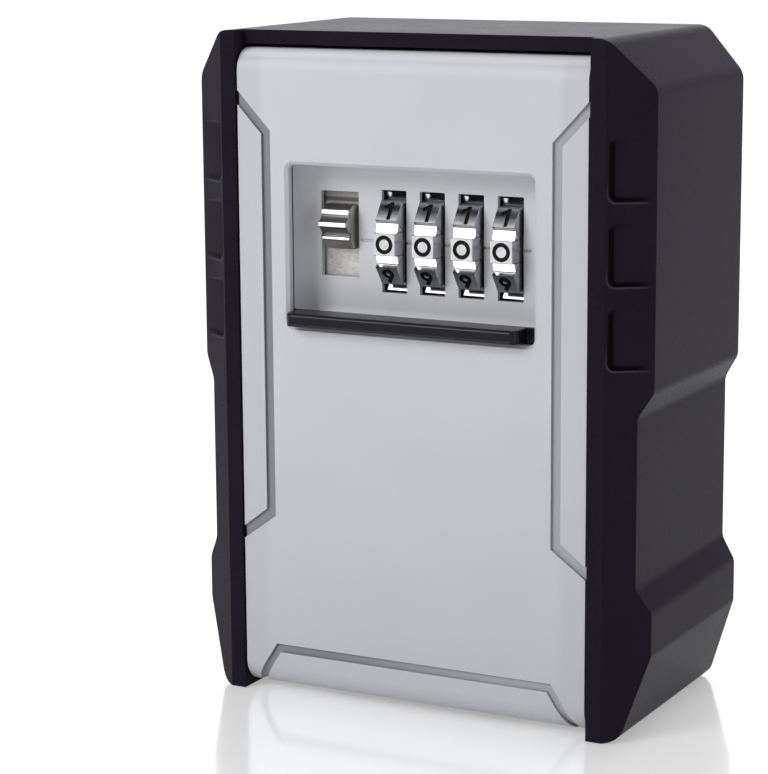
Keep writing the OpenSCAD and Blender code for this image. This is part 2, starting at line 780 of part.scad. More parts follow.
module dial_plate() {
  lug_left = dial_first - dial_width / 2 - 0.45;
  lug_right = dial_at(3) + dial_width / 2 + cam_thickness + 0.25;
  slot = dial_width + dial_slot_play;
  color([0.68, 0.69, 0.71]) placed() difference() {
    union() {
      block([-tray_half, skin_back, tray_low], [tray_half, plate_rear, tray_top]);
      for (x = [lug_left - 1.3, lug_right])
        block([x, plate_rear - tiny, spindle_height - 3.2],
          [x + 1.3, spindle_y + 2.4, spindle_height + 3.2]);
      block([spring_x - 3, plate_rear - tiny, tray_low],
        [spring_x + 3, spring_y + 3, spring_seat]);
    }
    block([-channel_half, skin_back - 1, tray_low - 1], [channel_half, channel_back, window_high + 1]);
    tray_scoop();
    block([lever_middle - lever_slot_width / 2 - 0.5, channel_back, lever_slot_low],
      [lever_middle + lever_slot_width / 2 - 0.5, plate_rear + 1, lever_slot_high]);
    for (i = [0:3])
      block([dial_at(i) - slot / 2, channel_back, spindle_height - dial_slot_height / 2],
        [dial_at(i) + slot / 2, plate_rear + 1, spindle_height + dial_slot_height / 2]);
    block([lever_middle + lever_slot_width / 2, plate_front - 1, spindle_height - index_width / 2],
      [window_half - cove - 0.2, plate_front + index_depth, spindle_height + index_width / 2]);
    bar_x(lug_left - 2, lug_right + 2, spindle_y, spindle_height, spindle_radius + 0.03);
    for (side = [-1, 1])
      bar_y(side * cover_screw_out, skin_back - 1, plate_rear + 1, cover_screw_height, 2.8);
  }
}

module shutter_guide() {
  color([0.3, 0.3, 0.32]) placed() difference() {
    block([-tray_half, skin_back, guide_low], [tray_half, channel_back + 1.5, tray_low - 0.3]);
    block([-channel_half, skin_back - 1, shutter_low - 0.9], [channel_half, channel_back, tray_low + 1]);
  }
}

module weather_shutter() {
  lip_low = shutter_top - lip_height;
  front = skin_back + 0.2;
  back = front + shutter_thickness;
  color([0.09, 0.09, 0.1]) placed() {
    block([-shutter_half, front, shutter_low], [shutter_half, back, shutter_top]);
    intersection() {
      along_x(lip_left, lip_right) {
        translate([lip_front + lip_edge, lip_low]) square([back - lip_front - lip_edge, lip_height]);
        translate([lip_front, lip_low + lip_edge]) square([2, lip_height - 2 * lip_edge]);
        for (z = [lip_low + lip_edge, shutter_top - lip_edge])
          translate([lip_front + lip_edge, z]) circle(lip_edge);
      }
      translate([0, 0, lip_low - 1]) linear_extrude(lip_height + 2)
        rounded([lip_left, lip_front], [lip_right, lip_front + 14], lip_corner);
    }
  }
}

// Lock cover on the inside of the door

module lock_cover() {
  chamfer = 2;
  color([0.66, 0.67, 0.69]) placed() difference() {
    union() {
      block([-door_inner_half + 0.2, door_back - 2.2, knuckle_top + 0.3],
        [door_inner_half - 0.2, door_back, door_top - door_edge - 0.3]);
      block([-block_half_width, door_back - tiny, block_low],
        [block_half_width, block_back, block_high]);
      intersection() {
        along_x(housing_left, housing_right)
          polygon([[block_back - 1, housing_low], [housing_back - chamfer, housing_low],
            [housing_back, housing_low + chamfer], [housing_back, housing_high - chamfer],
            [housing_back - chamfer, housing_high], [block_back - 1, housing_high]]);
        translate([0, 0, housing_low - 1]) linear_extrude(housing_high - housing_low + 2)
          polygon([[housing_left, block_back - 1], [housing_left, housing_back - chamfer],
            [housing_left + chamfer, housing_back], [housing_right - chamfer, housing_back],
            [housing_right, housing_back - chamfer], [housing_right, block_back - 1]]);
      }
    }
    block([-block_half_width + 5.4, door_back - 3, block_low + cover_wall],
      [block_half_width - 5.4, block_back - cover_wall, block_high - cover_wall]);
    block([housing_left + cover_wall, door_back - 3, housing_low + cover_wall],
      [housing_right - cover_wall, housing_inner_back, housing_high - cover_wall]);
    for (side = [-1, 1]) {
      block([side * latch_hook_out - latch_hook_width / 2 - 0.5, door_back - 3,
          latch_hook_low - latch_travel - 0.5],
        [side * latch_hook_out + latch_hook_width / 2 + 0.5, housing_back + 1, hook_nose_top + 1.2]);
      block([side * latch_hook_out - latch_hook_width / 2, housing_inner_back - 1, housing_low + 5],
        [side * latch_hook_out + latch_hook_width / 2, housing_back + 1, housing_low + 8]);
      bar_y(side * cover_screw_out, door_back - 3, block_back + 1, cover_screw_height, 1.5);
    }
    block([reset_x, door_back - 3, reset_low - 0.4],
      [reset_x + 2.9, block_back + 1, reset_low + reset_travel + 4.4]);
    block([reset_x, block_back - cover_wall - 1, reset_low - 0.4],
      [reset_x + reset_tab + 0.4, block_back + 1, reset_low + 3.4]);
  }
}

// tall slotted screw that holds the lock cover in the door
module cover_screw(side) {
  x = side * cover_screw_out;
  color([0.78, 0.66, 0.38]) placed() difference() {
    union() {
      bar_y(x, door_back - 8.8, block_back + tiny, cover_screw_height, 1.4);
      bar_y(x, block_back, block_back + 0.7, cover_screw_height, cover_screw_head);
      bar_y(x, block_back + 0.7 - tiny, block_back + 3.2, cover_screw_height, cover_screw_head - 0.5);
    }
    block([x - 0.35, block_back + 2.1, cover_screw_height - 4],
      [x + 0.35, block_back + 4, cover_screw_height + 4]);
  }
}

// Latch, driven by the opening lever

module opening_lever() {
  left = lever_middle - lever_width / 2;
  right = lever_middle + lever_width / 2;
  tip = plate_front - lever_reach;
  color([0.74, 0.73, 0.72]) placed() {
    along_x(left, right) polygon([
      [latch_front, lever_low], [plate_front - 1, lever_low], [plate_front - 2.7, lever_height - 3.6],
      [plate_front - 2.7, lever_height - 2.5], [tip, lever_height - 0.6], [tip, lever_height + 0.4],
      [plate_front - 2.7, lever_height + 2.2], [plate_front - 1, lever_high], [latch_front, lever_high]]);
    for (z = [-3.3, 0, 2.5])
      block([left + 0.3, (z == 0 ? tip : plate_front - 2.7) - 0.3, lever_height + z - 0.2],
        [right - 0.3, (z == 0 ? tip : plate_front - 2.7) + 0.5, lever_height + z + 0.3]);
  }
}

module latch_plate() {
  fence = dial_width / 2 + 0.4;
  bar_right = dial_at(3) + fence + 1.6;
  color([0.76, 0.75, 0.73]) placed() {
    block([lever_middle - 6, latch_front, spring_top], [arm_right, latch_rear, latch_block_top]);
    block([arm_left, latch_front, lever_high], [arm_right, latch_rear, latch_bar_top]);
    block([arm_left, latch_front, latch_hook_low], [bar_right, latch_rear, latch_bar_top]);
    block([spring_x - 2.6, latch_front, spring_top], [spring_x + 2.6, spring_y + 2.6, spring_top + 1]);
    for (i = [0:3])
      block([dial_at(i) + fence, latch_front, latch_hook_low - 4.8],
        [dial_at(i) + fence + 1, latch_rear, latch_bar_top]);
  }
}

// hook that reaches through the cover and up behind the frame rail
module latch_hook(side) {
  x = side * latch_hook_out;
  color([0.72, 0.71, 0.69]) placed()
    along_x(x - latch_hook_width / 2, x + latch_hook_width / 2)
      polygon([[latch_rear, latch_hook_low], [hook_nose_rear - 1, latch_hook_low],
        [hook_nose_rear, latch_hook_low + 1], [hook_nose_rear, hook_nose_top - 1.4],
        [hook_nose_rear - 1.4, hook_nose_top], [hook_nose_front, hook_nose_top],
        [hook_nose_front, hook_neck_top], [latch_rear, hook_neck_top]]);
}

// Coil spring under the latch plate: a round wire swept along a helix
spring_turns = 5;
spring_rings = 8;
spring_sides = 6;
function spring_point(k, s) =
  let (a = 360 * k / spring_rings, b = 360 * s / spring_sides,
    r = spring_radius + spring_wire * cos(b),
    length = spring_top - spring_seat - 2 * spring_wire,
    z = spring_seat + spring_wire + length * k / (spring_turns * spring_rings) + spring_wire * sin(b))
  [spring_x + r * cos(a), spring_y + r * sin(a), z];

module latch_spring() {
  steps = spring_turns * spring_rings;
  points = [for (k = [0:steps], s = [0:spring_sides - 1]) spring_point(k, s)];
  walls = [for (k = [0:steps - 1], s = [0:spring_sides - 1])
    let (n = (s + 1) % spring_sides, a = k * spring_sides, b = a + spring_sides)
    each [[a + s, b + s, b + n], [a + s, b + n, a + n]]];
  first = [for (s = [1:spring_sides - 2]) [0, s, s + 1]];
  last = [for (s = [1:spring_sides - 2])
    [steps * spring_sides, steps * spring_sides + s + 1, steps * spring_sides + s]];
  color([0.7, 0.7, 0.72]) placed()
    polyhedron(points = points, faces = concat(walls, first, last));
}

// Dials

module dial_spindle() {
  color([0.6, 0.6, 0.62]) placed()
    bar_x(dial_first - dial_width / 2 - 1.7, dial_at(3) + dial_width / 2 + cam_thickness + 1.2,
      spindle_y, spindle_height, spindle_radius);
}

// straight stroke of a digit from one point to another
module stroke(from, to, w) {
  d = to - from;
  translate(from) rotate(atan2(d[1], d[0])) translate([0, -w / 2]) square([norm(d), w]);
}

// curved stroke of a digit, between two angles
module bow(middle, r, w, from, to) {
  translate(middle) intersection() {
    difference() {
      circle(r);
      circle(r - w);
    }
    polygon(concat([[0, 0]], [for (i = [0:6]) let (a = from + (to - from) * i / 6)
      2 * r * [cos(a), sin(a)]]));
  }
}

// plain digit d, as wide as it is drawn for a height of u times 4.1
module digit(d, u) {
  w = 0.9 * u;
  if (d == 0) bow([0, 0], 2.05 * u, w, 0, 180);
  if (d == 0) bow([0, 0], 2.05 * u, w, 180, 360);
  if (d == 1) stroke([0.4, -2.15] * u, [0.4, 2.15] * u, w);
  if (d == 1) stroke([-1.2, 0.75] * u, [0.6, 1.8] * u, w);
  if (d == 2) bow([0, 0.75] * u, 1.35 * u, w, -35, 180);
  if (d == 2) stroke([-1.1, -1.7] * u, [0.95, 0.45] * u, w);
  if (d == 2) stroke([-1.4, -1.65] * u, [1.4, -1.65] * u, w);
  if (d == 3) bow([0, 0.9] * u, 1.2 * u, w, -90, 150);
  if (d == 3) bow([0, -0.7] * u, 1.4 * u, w, -150, 90);
  if (d == 4) stroke([0.7, -2.05] * u, [0.7, 2.05] * u, w);
  if (d == 4) stroke([-1.5, -0.9] * u, [1.6, -0.9] * u, w);
  if (d == 4) stroke([-1.2, -0.8] * u, [0.7, 1.9] * u, w);
  if (d == 5) stroke([-1.2, 1.65] * u, [1.3, 1.65] * u, w);
  if (d == 5) stroke([-0.9, 0.2] * u, [-0.9, 2] * u, w);
  if (d == 5) bow([0, -0.65] * u, 1.4 * u, w, -150, 125);
  if (d == 6) bow([0, -0.65] * u, 1.4 * u, w, 0, 180);
  if (d == 6) bow([0, -0.65] * u, 1.4 * u, w, 180, 360);
  if (d == 6) stroke([-0.95, -0.4] * u, [0.5, 1.95] * u, w);
  if (d == 7) stroke([-1.4, 1.65] * u, [1.4, 1.65] * u, w);
  if (d == 7) stroke([-0.4, -2.05] * u, [1, 1.7] * u, w);
  if (d == 8) bow([0, 0.95] * u, 1.1 * u, 0.7 * u, 0, 180);
  if (d == 8) bow([0, 0.95] * u, 1.1 * u, 0.7 * u, 180, 360);
  if (d == 8) bow([0, -0.7] * u, 1.35 * u, 0.75 * u, 0, 180);
  if (d == 8) bow([0, -0.7] * u, 1.35 * u, 0.75 * u, 180, 360);
  if (d == 9) bow([0, 0.65] * u, 1.4 * u, w, 0, 180);
  if (d == 9) bow([0, 0.65] * u, 1.4 * u, w, 180, 360);
  if (d == 9) stroke([0.95, 0.4] * u, [-0.5, -1.95] * u, w);
}

// side outline of a dial: ten flat lands with a sunk band after each
module dial_outline() {
  floor_radius = dial_radius - grip_depth;
  polygon([for (k = [0:9], p = [0:3])
    let (a = 36 * k + (p < 2 ? 0 : 18), r = p < 2 ? dial_radius : floor_radius,
      t = (p < 2 ? land_height : band_height) / 2 * (p % 2 == 0 ? -1 : 1))
    [-r * cos(a) + t * sin(a), r * sin(a) + t * cos(a)]]);
}

// dial i: zero at the front, one above it, nine below it
module dial(i) {
  color([0.85, 0.85, 0.87]) placed() translate([dial_at(i), spindle_y, spindle_height])
    difference() {
      along_x(-dial_width / 2, dial_width / 2) dial_outline();
      bar_x(-dial_width, dial_width, 0, 0, spindle_radius + running_gap);
      for (d = [0:9]) rotate([-36 * d, 0, 0])
        along_y(-dial_radius - 1, -dial_radius + digit_depth) digit(d, digit_height / 4.1);
    }
}

// code cam i beside its dial, with the gate that its code digit opens
module code_cam(i) {
  left = dial_at(i) + dial_width / 2;
  color([0.8, 0.72, 0.45]) placed() difference() {
    bar_x(left, left + cam_thickness, spindle_y, spindle_height, cam_radius);
    bar_x(left - 1, left + cam_thickness + 1, spindle_y, spindle_height, spindle_radius + running_gap);
    translate([left - 1, spindle_y, spindle_height]) rotate([36 * dial_code[i], 0, 0])
      translate([0, -1.2, cam_radius - 2.4]) cube([cam_thickness + 2, 2.4, 5]);
  }
}

// comb under the dials with one nose for each dial
module detent_spring() {
  low = spindle_height - dial_corner - 4.6;
  color([0.7, 0.7, 0.71]) placed() {
    block([dial_first - dial_width / 2 - 1.4, plate_rear, low],
      [dial_at(3) + dial_width / 2 + 1, spindle_y + 3, low + 0.6]);
    for (i = [0:3])
      along_x(dial_at(i) - 1.5, dial_at(i) + 1.5)
        polygon([[spindle_y - 2.4, low + 0.5], [spindle_y - 0.4, low + 4.25],
          [spindle_y + 0.4, low + 4.25], [spindle_y + 2.4, low + 0.5]]);
  }
}

// lever for changing the code, in its slot beside the dial housing
module reset_lever() {
  color([0.74, 0.73, 0.71]) placed() {
    block([reset_x + 0.3, block_back - cover_wall - 1, reset_low],
      [reset_x + 2.6, block_back + 1.2, reset_low + 3.6]);
    block([reset_x - 0.8, block_back - cover_wall - 1.2, reset_low],
      [reset_x + 3.3, block_back - cover_wall - 0.15, reset_low + 3.6]);
    block([reset_x + 0.3, block_back + 0.15, reset_low],
      [reset_x + reset_tab, block_back + 1.2, reset_low + 6]);
    block([reset_x + reset_tab - reset_tab_wall, block_back + 0.15, reset_low],
      [reset_x + reset_tab, block_back + 3.4, reset_low + 6]);
  }
}

outer_shell();
inner_case();
front_frame();
weather_seal();
strike_plate();
hinge_bracket();
hinge_barrel();
hinge_pin();
hook_bar();
key_hook(-hook_out);  // key_hook_left
key_hook(hook_out);  // key_hook_right
hook_bar_screw(0);  // hook_bar_screw_1
hook_bar_screw(1);  // hook_bar_screw_2
hook_bar_screw(2);  // hook_bar_screw_3
hook_bar_screw(3);  // hook_bar_screw_4
shell_screw(0);  // shell_screw_1
shell_screw(1);  // shell_screw_2
shell_screw(2);  // shell_screw_3
shell_screw(3);  // shell_screw_4
door_panel();
dial_plate();
lock_cover();
shutter_guide();
dial_spindle();
detent_spring();
cover_screw(-1);  // cover_screw_left
cover_screw(1);  // cover_screw_right
opening_lever();
latch_plate();
latch_hook(-1);  // latch_hook_left
latch_hook(1);  // latch_hook_right
latch_spring();
weather_shutter();
dial(0);  // dial_1
dial(1);  // dial_2
dial(2);  // dial_3
dial(3);  // dial_4
code_cam(0);  // code_cam_1
code_cam(1);  // code_cam_2
code_cam(2);  // code_cam_3
code_cam(3);  // code_cam_4
reset_lever();
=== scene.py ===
# %% [markdown]
# # A wall key safe
#
# This notebook dresses the frame of a wall key safe: a ribbed black case, a
# drop-down grey door with four number dials, an opening lever and a sliding
# shutter, and a key cavity behind the door. The hard shapes come from the
# frame, in metres, and already sit in place. Here they get softened edges and
# their finishes, and the small parts that the eye goes to are made anew.

# %% Start from the frame
import math
import bpy
import numpy as np
from mathutils import Matrix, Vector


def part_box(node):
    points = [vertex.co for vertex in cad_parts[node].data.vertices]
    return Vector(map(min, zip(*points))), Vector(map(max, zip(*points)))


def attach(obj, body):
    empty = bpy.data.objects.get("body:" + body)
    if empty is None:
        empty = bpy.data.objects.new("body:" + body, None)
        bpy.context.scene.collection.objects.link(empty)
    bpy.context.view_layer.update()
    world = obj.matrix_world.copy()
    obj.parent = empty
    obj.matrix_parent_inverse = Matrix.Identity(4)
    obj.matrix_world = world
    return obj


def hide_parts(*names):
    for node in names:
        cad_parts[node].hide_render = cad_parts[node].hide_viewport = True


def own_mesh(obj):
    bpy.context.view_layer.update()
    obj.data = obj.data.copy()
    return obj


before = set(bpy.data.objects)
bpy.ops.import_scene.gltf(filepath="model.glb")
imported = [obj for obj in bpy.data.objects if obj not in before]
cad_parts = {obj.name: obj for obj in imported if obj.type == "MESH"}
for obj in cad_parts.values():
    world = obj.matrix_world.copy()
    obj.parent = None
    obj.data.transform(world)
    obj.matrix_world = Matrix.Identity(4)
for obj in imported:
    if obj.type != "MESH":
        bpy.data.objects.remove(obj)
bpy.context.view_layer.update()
MM = 0.001

# %% [markdown]
# ## Where things are
#
# The safe's sizes are given in millimetres here, and those of the floor and
# the lamps in metres. Y = 0 is the middle of the safe's depth. The dials and
# the lever are placed from these few numbers, which are those of the frame's
# own solids.

# %% Sizes that the new pieces share
DIAL_X = [-8.0, 1.0, 10.0, 19.0]
SPINDLE_Y, SPINDLE_Z = -8.7, 99.4
LAND_RADIUS, DIAL_WIDTH = 11.7, 4.9
LEVER_X = -20.4
for node in ("dial_1", "dial_4", "opening_lever", "latch_spring"):
    low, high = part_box(node)
    print(node, [round(v * 1000, 2) for v in low], [round(v * 1000, 2) for v in high])

# %% [markdown]
# ## The camera
#
# The view was worked out from the straight edges of the safe in the
# photograph: the lens stands about half a metre away, a little above the top
# of the safe and to its right, and looks slightly down.

# %% Camera
def look_matrix(yaw, pitch, roll):
    """Columns are the camera's right, up and back directions: forward is turned
    by yaw about Z and dipped by pitch, and right and up are turned by roll."""
    y, p, r = (math.radians(a) for a in (yaw, pitch, roll))
    forward = np.array([-math.sin(y) * math.cos(p), math.cos(y) * math.cos(p), -math.sin(p)])
    right = np.array([math.cos(y), math.sin(y), 0.0])
    up = np.cross(right, forward)
    return np.column_stack([
        right * math.cos(r) + up * math.sin(r),
        up * math.cos(r) - right * math.sin(r),
        -forward])


SENSOR_MM, FOCAL_PIXELS, PICTURE_PIXELS = 36.0, 2582.02, 768
YAW, PITCH, ROLL = 27.963, 11.064, -0.423
LENS_AT_MM = (242.262, -492.249, 173.641)

view = bpy.data.cameras.new("view")
view.sensor_fit = "HORIZONTAL"
view.sensor_width = SENSOR_MM
view.lens = FOCAL_PIXELS / PICTURE_PIXELS * SENSOR_MM
view.clip_start, view.clip_end = 0.01, 20.0
camera = bpy.data.objects.new("view", view)
pose = np.eye(4)
pose[:3, :3] = look_matrix(YAW, PITCH, ROLL)
pose[:3, 3] = np.array(LENS_AT_MM) * MM
camera.matrix_world = Matrix(pose.tolist())
bpy.context.scene.collection.objects.link(camera)
bpy.context.scene.camera = camera
bpy.context.scene.view_settings.view_transform = "Standard"
print("lens", round(view.lens, 2), "mm")

# %% [markdown]
# ## The finishes
#
# A finish is a small network of nodes. Each one starts from the place of the
# surface in Object coordinates, so the grain keeps its real size on every
# part. Noise at two scales shades the colour a little, roughens the gloss and
# lifts a fine relief, as a sprayed, moulded or plated surface has.

# %% Helpers for finishes
def new_finish(name, metallic=0.0, specular=0.5):
    """An empty finish: the shader, and the place of the surface in metres."""
    finish = bpy.data.materials.new(name)
    finish.use_nodes = True
    tree = finish.node_tree
    tree.nodes.clear()
    output = tree.nodes.new("ShaderNodeOutputMaterial")
    shader = tree.nodes.new("ShaderNodeBsdfPrincipled")
    shader.inputs["Metallic"].default_value = metallic
    shader.inputs["Specular IOR Level"].default_value = specular
    tree.links.new(shader.outputs["BSDF"], output.inputs["Surface"])
    place = tree.nodes.new("ShaderNodeTexCoord")
    return finish, tree, shader, place.outputs["Object"]


def noise(tree, place, size_mm, detail, stretch=(1, 1, 1)):
    """Noise whose patches are about size_mm across, stretched along the axes."""
    mapping = tree.nodes.new("ShaderNodeMapping")
    mapping.inputs["Scale"].default_value = [1000.0 / size_mm / s for s in stretch]
    tree.links.new(place, mapping.inputs["Vector"])
    texture = tree.nodes.new("ShaderNodeTexNoise")
    texture.inputs["Scale"].default_value = 1.0
    texture.inputs["Detail"].default_value = detail
    tree.links.new(mapping.outputs["Vector"], texture.inputs["Vector"])
    return texture.outputs["Fac"]


def grains(tree, place, size_mm):
    """Distance to the nearest of many scattered points, size_mm apart."""
    mapping = tree.nodes.new("ShaderNodeMapping")
    mapping.inputs["Scale"].default_value = [1000.0 / size_mm] * 3
    tree.links.new(place, mapping.inputs["Vector"])
    texture = tree.nodes.new("ShaderNodeTexVoronoi")
    texture.inputs["Scale"].default_value = 1.0
    tree.links.new(mapping.outputs["Vector"], texture.inputs["Vector"])
    return texture.outputs["Distance"]


def spread(tree, value, low, high, start=0.3, end=0.7):
    """Maps value from start..end to low..high, and holds it there outside."""
    node = tree.nodes.new("ShaderNodeMapRange")
    node.inputs["From Min"].default_value = start
    node.inputs["From Max"].default_value = end
    node.inputs["To Min"].default_value = low
    node.inputs["To Max"].default_value = high
    tree.links.new(value, node.inputs["Value"])
    return node.outputs["Result"]


def blend_colours(tree, value, dark, light):
    """Mixes two colours by value, from 0 to 1."""
    node = tree.nodes.new("ShaderNodeMix")
    node.data_type = "RGBA"
    tree.links.new(value, node.inputs["Factor"])
    for socket, colour in (("A", dark), ("B", light)):
        target = [s for s in node.inputs if s.name == socket and s.type == "RGBA"][0]
        if hasattr(colour, "is_output"):
            tree.links.new(colour, target)
        else:
            target.default_value = (*colour, 1.0)
    return [s for s in node.outputs if s.type == "RGBA"][0]


def relief(tree, shader, value, height_mm, strength):
    """Turns value into bumps height_mm high."""
    node = tree.nodes.new("ShaderNodeBump")
    node.inputs["Distance"].default_value = height_mm * MM
    node.inputs["Strength"].default_value = strength
    tree.links.new(value, node.inputs["Height"])
    tree.links.new(node.outputs["Normal"], shader.inputs["Normal"])


def maths(tree, operation, a, b=None):
    """One arithmetic node; a and b are sockets or numbers."""
    node = tree.nodes.new("ShaderNodeMath")
    node.operation = operation
    for socket, v in zip(node.inputs, (a, b)):
        if hasattr(v, "is_output"):
            tree.links.new(v, socket)
        elif v is not None:
            socket.default_value = v
    return node.outputs[0]


# %% [markdown]
# ### Sums that the finishes share
#
# Several finishes paint by place: they find a groove, a ridge or a digit from
# coordinates alone. Each such sum is a few arithmetic nodes, so the common
# ones get a name here and the finishes read like the formulas they stand for.

# %% Shared sums
def places(tree, place):
    """The three coordinates of a place, each as its own socket, in millimetres."""
    split = tree.nodes.new("ShaderNodeSeparateXYZ")
    tree.links.new(place, split.inputs["Vector"])
    return [maths(tree, "MULTIPLY", split.outputs[axis], 1000.0) for axis in "XYZ"]


def both(tree, a, b):
    """a * b, which is 1 only where two masks hold together."""
    return maths(tree, "MULTIPLY", a, b)


def shaded(tree, value, dark, light):
    """Mixes two colours by a noise, whose middle part is stretched to 0..1."""
    return blend_colours(tree, spread(tree, value, 0, 1), dark, light)


def mixed(tree, a, b, share):
    """share * a + (1 - share) * b."""
    part_a, part_b = maths(tree, "MULTIPLY", a, share), maths(tree, "MULTIPLY", b, 1 - share)
    return maths(tree, "ADD", part_a, part_b)


def band(tree, value, start, full, hold, end):
    """Rises from 0 at start to 1 at full, stays so to hold, and is 0 again at end."""
    rise = spread(tree, value, 0.0, 1.0, start, full)
    return both(tree, rise, spread(tree, value, 1.0, 0.0, hold, end))


def length(tree, a, b):
    """sqrt(a^2 + b^2)."""
    square = maths(tree, "ADD", maths(tree, "MULTIPLY", a, a), maths(tree, "MULTIPLY", b, b))
    return maths(tree, "SQRT", square)


def away_from(tree, value, middle):
    """|value - middle|."""
    return maths(tree, "ABSOLUTE", maths(tree, "SUBTRACT", value, middle))


def fold(tree, value, step):
    """Signed distance to the nearest multiple of step, which is
    (value + step/2) mod step - step/2."""
    shifted = maths(tree, "ADD", value, step / 2)
    return maths(tree, "SUBTRACT", maths(tree, "FLOORED_MODULO", shifted, step), step / 2)


sums = (places, both, shaded, mixed, band, length, away_from, fold)
print("shared sums:", [f.__name__ for f in sums])

# %% [markdown]
# ### Moulded, sprayed and plated
#
# Three recipes cover nearly all of the safe. Moulded plastic has a fine
# pebble grain from the mould. Sprayed paint on the metal door is smoother,
# with a faint orange peel and tiny specks. Plated metal is nearly a mirror,
# with long fine polishing marks that spread its reflections.

# %% Recipes
MOTTLE_MM, FINE_MM, SPECK_MM, CLOUD_MM = 14.0, 0.9, 0.35, 22.0


def pebble_grain(tree, shader, place, rough, grain_mm, height_mm):
    """Gloss and relief of pebbled plastic; gives back the shade for its colour."""
    fine = noise(tree, place, FINE_MM, 3.0)
    shade = mixed(tree, noise(tree, place, MOTTLE_MM, 4.0), fine, 0.6)
    tree.links.new(spread(tree, shade, *rough), shader.inputs["Roughness"])
    pebbles = maths(tree, "ADD", grains(tree, place, grain_mm), maths(tree, "MULTIPLY", fine, 0.5))
    relief(tree, shader, pebbles, height_mm, 0.6)
    return shade


def paint_grain(tree, shader, place, rough, cloud_mm, peel_mm, height_mm, strength):
    """Gloss and relief of sprayed paint; gives back the shade for its colour."""
    speck = noise(tree, place, SPECK_MM, 2.0)
    shade = mixed(tree, noise(tree, place, cloud_mm, 3.0), speck, 0.7)
    tree.links.new(spread(tree, speck, *rough), shader.inputs["Roughness"])
    peel = maths(tree, "ADD", noise(tree, place, peel_mm, 2.0), maths(tree, "MULTIPLY", speck, 0.35))
    relief(tree, shader, peel, height_mm, strength)
    return shade


def moulded_plastic(name, dark, light, rough, grain_mm, height_mm, specular):
    """Pebbled plastic: scattered grains in relief, colour and gloss mottled by noise."""
    finish, tree, shader, place = new_finish(name, specular=specular)
    shade = pebble_grain(tree, shader, place, rough, grain_mm, height_mm)
    tree.links.new(shaded(tree, shade, dark, light), shader.inputs["Base Color"])
    return finish


def sprayed_paint(name, dark, light, rough, peel_mm, height_mm):
    """Paint: a soft orange peel, a breath of colour change and small specks."""
    finish, tree, shader, place = new_finish(name, specular=0.4)
    shade = paint_grain(tree, shader, place, rough, CLOUD_MM, peel_mm, height_mm, 0.5)
    tree.links.new(shaded(tree, shade, dark, light), shader.inputs["Base Color"])
    return finish


def plated_metal(name, dark, light, rough, along):
    """Plated metal: fine marks stretched along one direction, and faint clouds."""
    finish, tree, shader, place = new_finish(name, metallic=1.0)
    marks = noise(tree, place, 0.12, 3.0, along)
    shade = mixed(tree, marks, noise(tree, place, 3.0, 2.0), 0.5)
    tree.links.new(shaded(tree, shade, dark, light), shader.inputs["Base Color"])
    tree.links.new(spread(tree, shade, *rough), shader.inputs["Roughness"])
    relief(tree, shader, marks, 0.002, 0.4)
    return finish


print("recipes: clouds of", MOTTLE_MM, "and", CLOUD_MM, "mm, specks of", FINE_MM, "and", SPECK_MM, "mm")


# %% [markdown]
# ### The plain finishes
#
# Each part without a special place to paint takes one of these: a dark and a
# light colour, a range of roughness, and the grain's size. The cavity is
# painted a little darker than the cover, as painted shade for the inside of a box.

# %% Plain finishes
black_frame = moulded_plastic(
    "black_frame", (0.006, 0.0056, 0.0068), (0.009, 0.0086, 0.01), (0.42, 0.54), 0.6, 0.004, 0.2)
black_shutter = moulded_plastic(
    "black_shutter", (0.006, 0.0052, 0.0085), (0.009, 0.008, 0.012), (0.2, 0.28), 0.5, 0.0012, 0.15)
dark_guide = moulded_plastic(
    "dark_guide", (0.012, 0.012, 0.013), (0.018, 0.018, 0.02), (0.5, 0.62), 0.7, 0.006, 0.25)
seal_rubber = moulded_plastic(
    "seal_rubber", (0.006, 0.006, 0.006), (0.011, 0.011, 0.011), (0.7, 0.85), 0.8, 0.015, 0.3)
grey_cover = sprayed_paint(
    "grey_cover", (0.47, 0.478, 0.505), (0.52, 0.528, 0.555), (0.42, 0.55), 1.4, 0.012)
# the cavity: a darker grey than the cover, as painted shade inside the box
grey_cavity = sprayed_paint(
    "grey_cavity", (0.36, 0.366, 0.388), (0.41, 0.416, 0.438), (0.45, 0.6), 1.8, 0.02)
warm_nickel = plated_metal(
    "warm_nickel", (0.55, 0.53, 0.52), (0.74, 0.72, 0.7), (0.14, 0.26), (14, 1, 1))
zinc_steel = plated_metal(
    "zinc_steel", (0.5, 0.5, 0.52), (0.66, 0.66, 0.68), (0.24, 0.4), (1, 8, 1))
yellow_brass = plated_metal(
    "yellow_brass", (0.62, 0.47, 0.2), (0.78, 0.62, 0.32), (0.2, 0.34), (6, 1, 6))
cam_brass = plated_metal(
    "cam_brass", (0.6, 0.47, 0.24), (0.72, 0.58, 0.32), (0.28, 0.4), (1, 6, 6))
plain = (black_frame, black_shutter, dark_guide, seal_rubber, grey_cover, grey_cavity,
         warm_nickel, zinc_steel, yellow_brass, cam_brass)
print("plain finishes:", [finish.name for finish in plain])

# %% [markdown]
# ### Nickel with painted highlights and painted shade
#
# The lever's grip is a plated casting. Its three ridges carry a painted highlight,
# and the hollows between them painted shade. The latch plate behind it is
# brushed, and brown above, with painted shade where the slot shades it. Both
# finishes find these zones in the piece's own coordinates, so the zones move with the lever.

# %% Grip and latch
MIDDLE_RIDGE_Y, OUTER_RIDGE_Y, RIDGE_SOFT = -20.2, -18.7, 0.1
UPPER_RIDGE_Z, LOWER_RIDGE_Z = 104.8, 100.3
GRIP_SLOPE_Z, GRIP_SIDE = (99.2, 99.5), 3.22
LATCH_EDGE_Z, LATCH_LINE_Z = (106.7, 107.1), (107.2, 107.4, 108.0, 108.3)


def ridge_from(tree, y, ridge_y):
    """1 in front of ridge_y and 0 behind it, with a soft edge between."""
    return spread(tree, y, 1.0, 0.0, ridge_y - RIDGE_SOFT, ridge_y + RIDGE_SOFT)


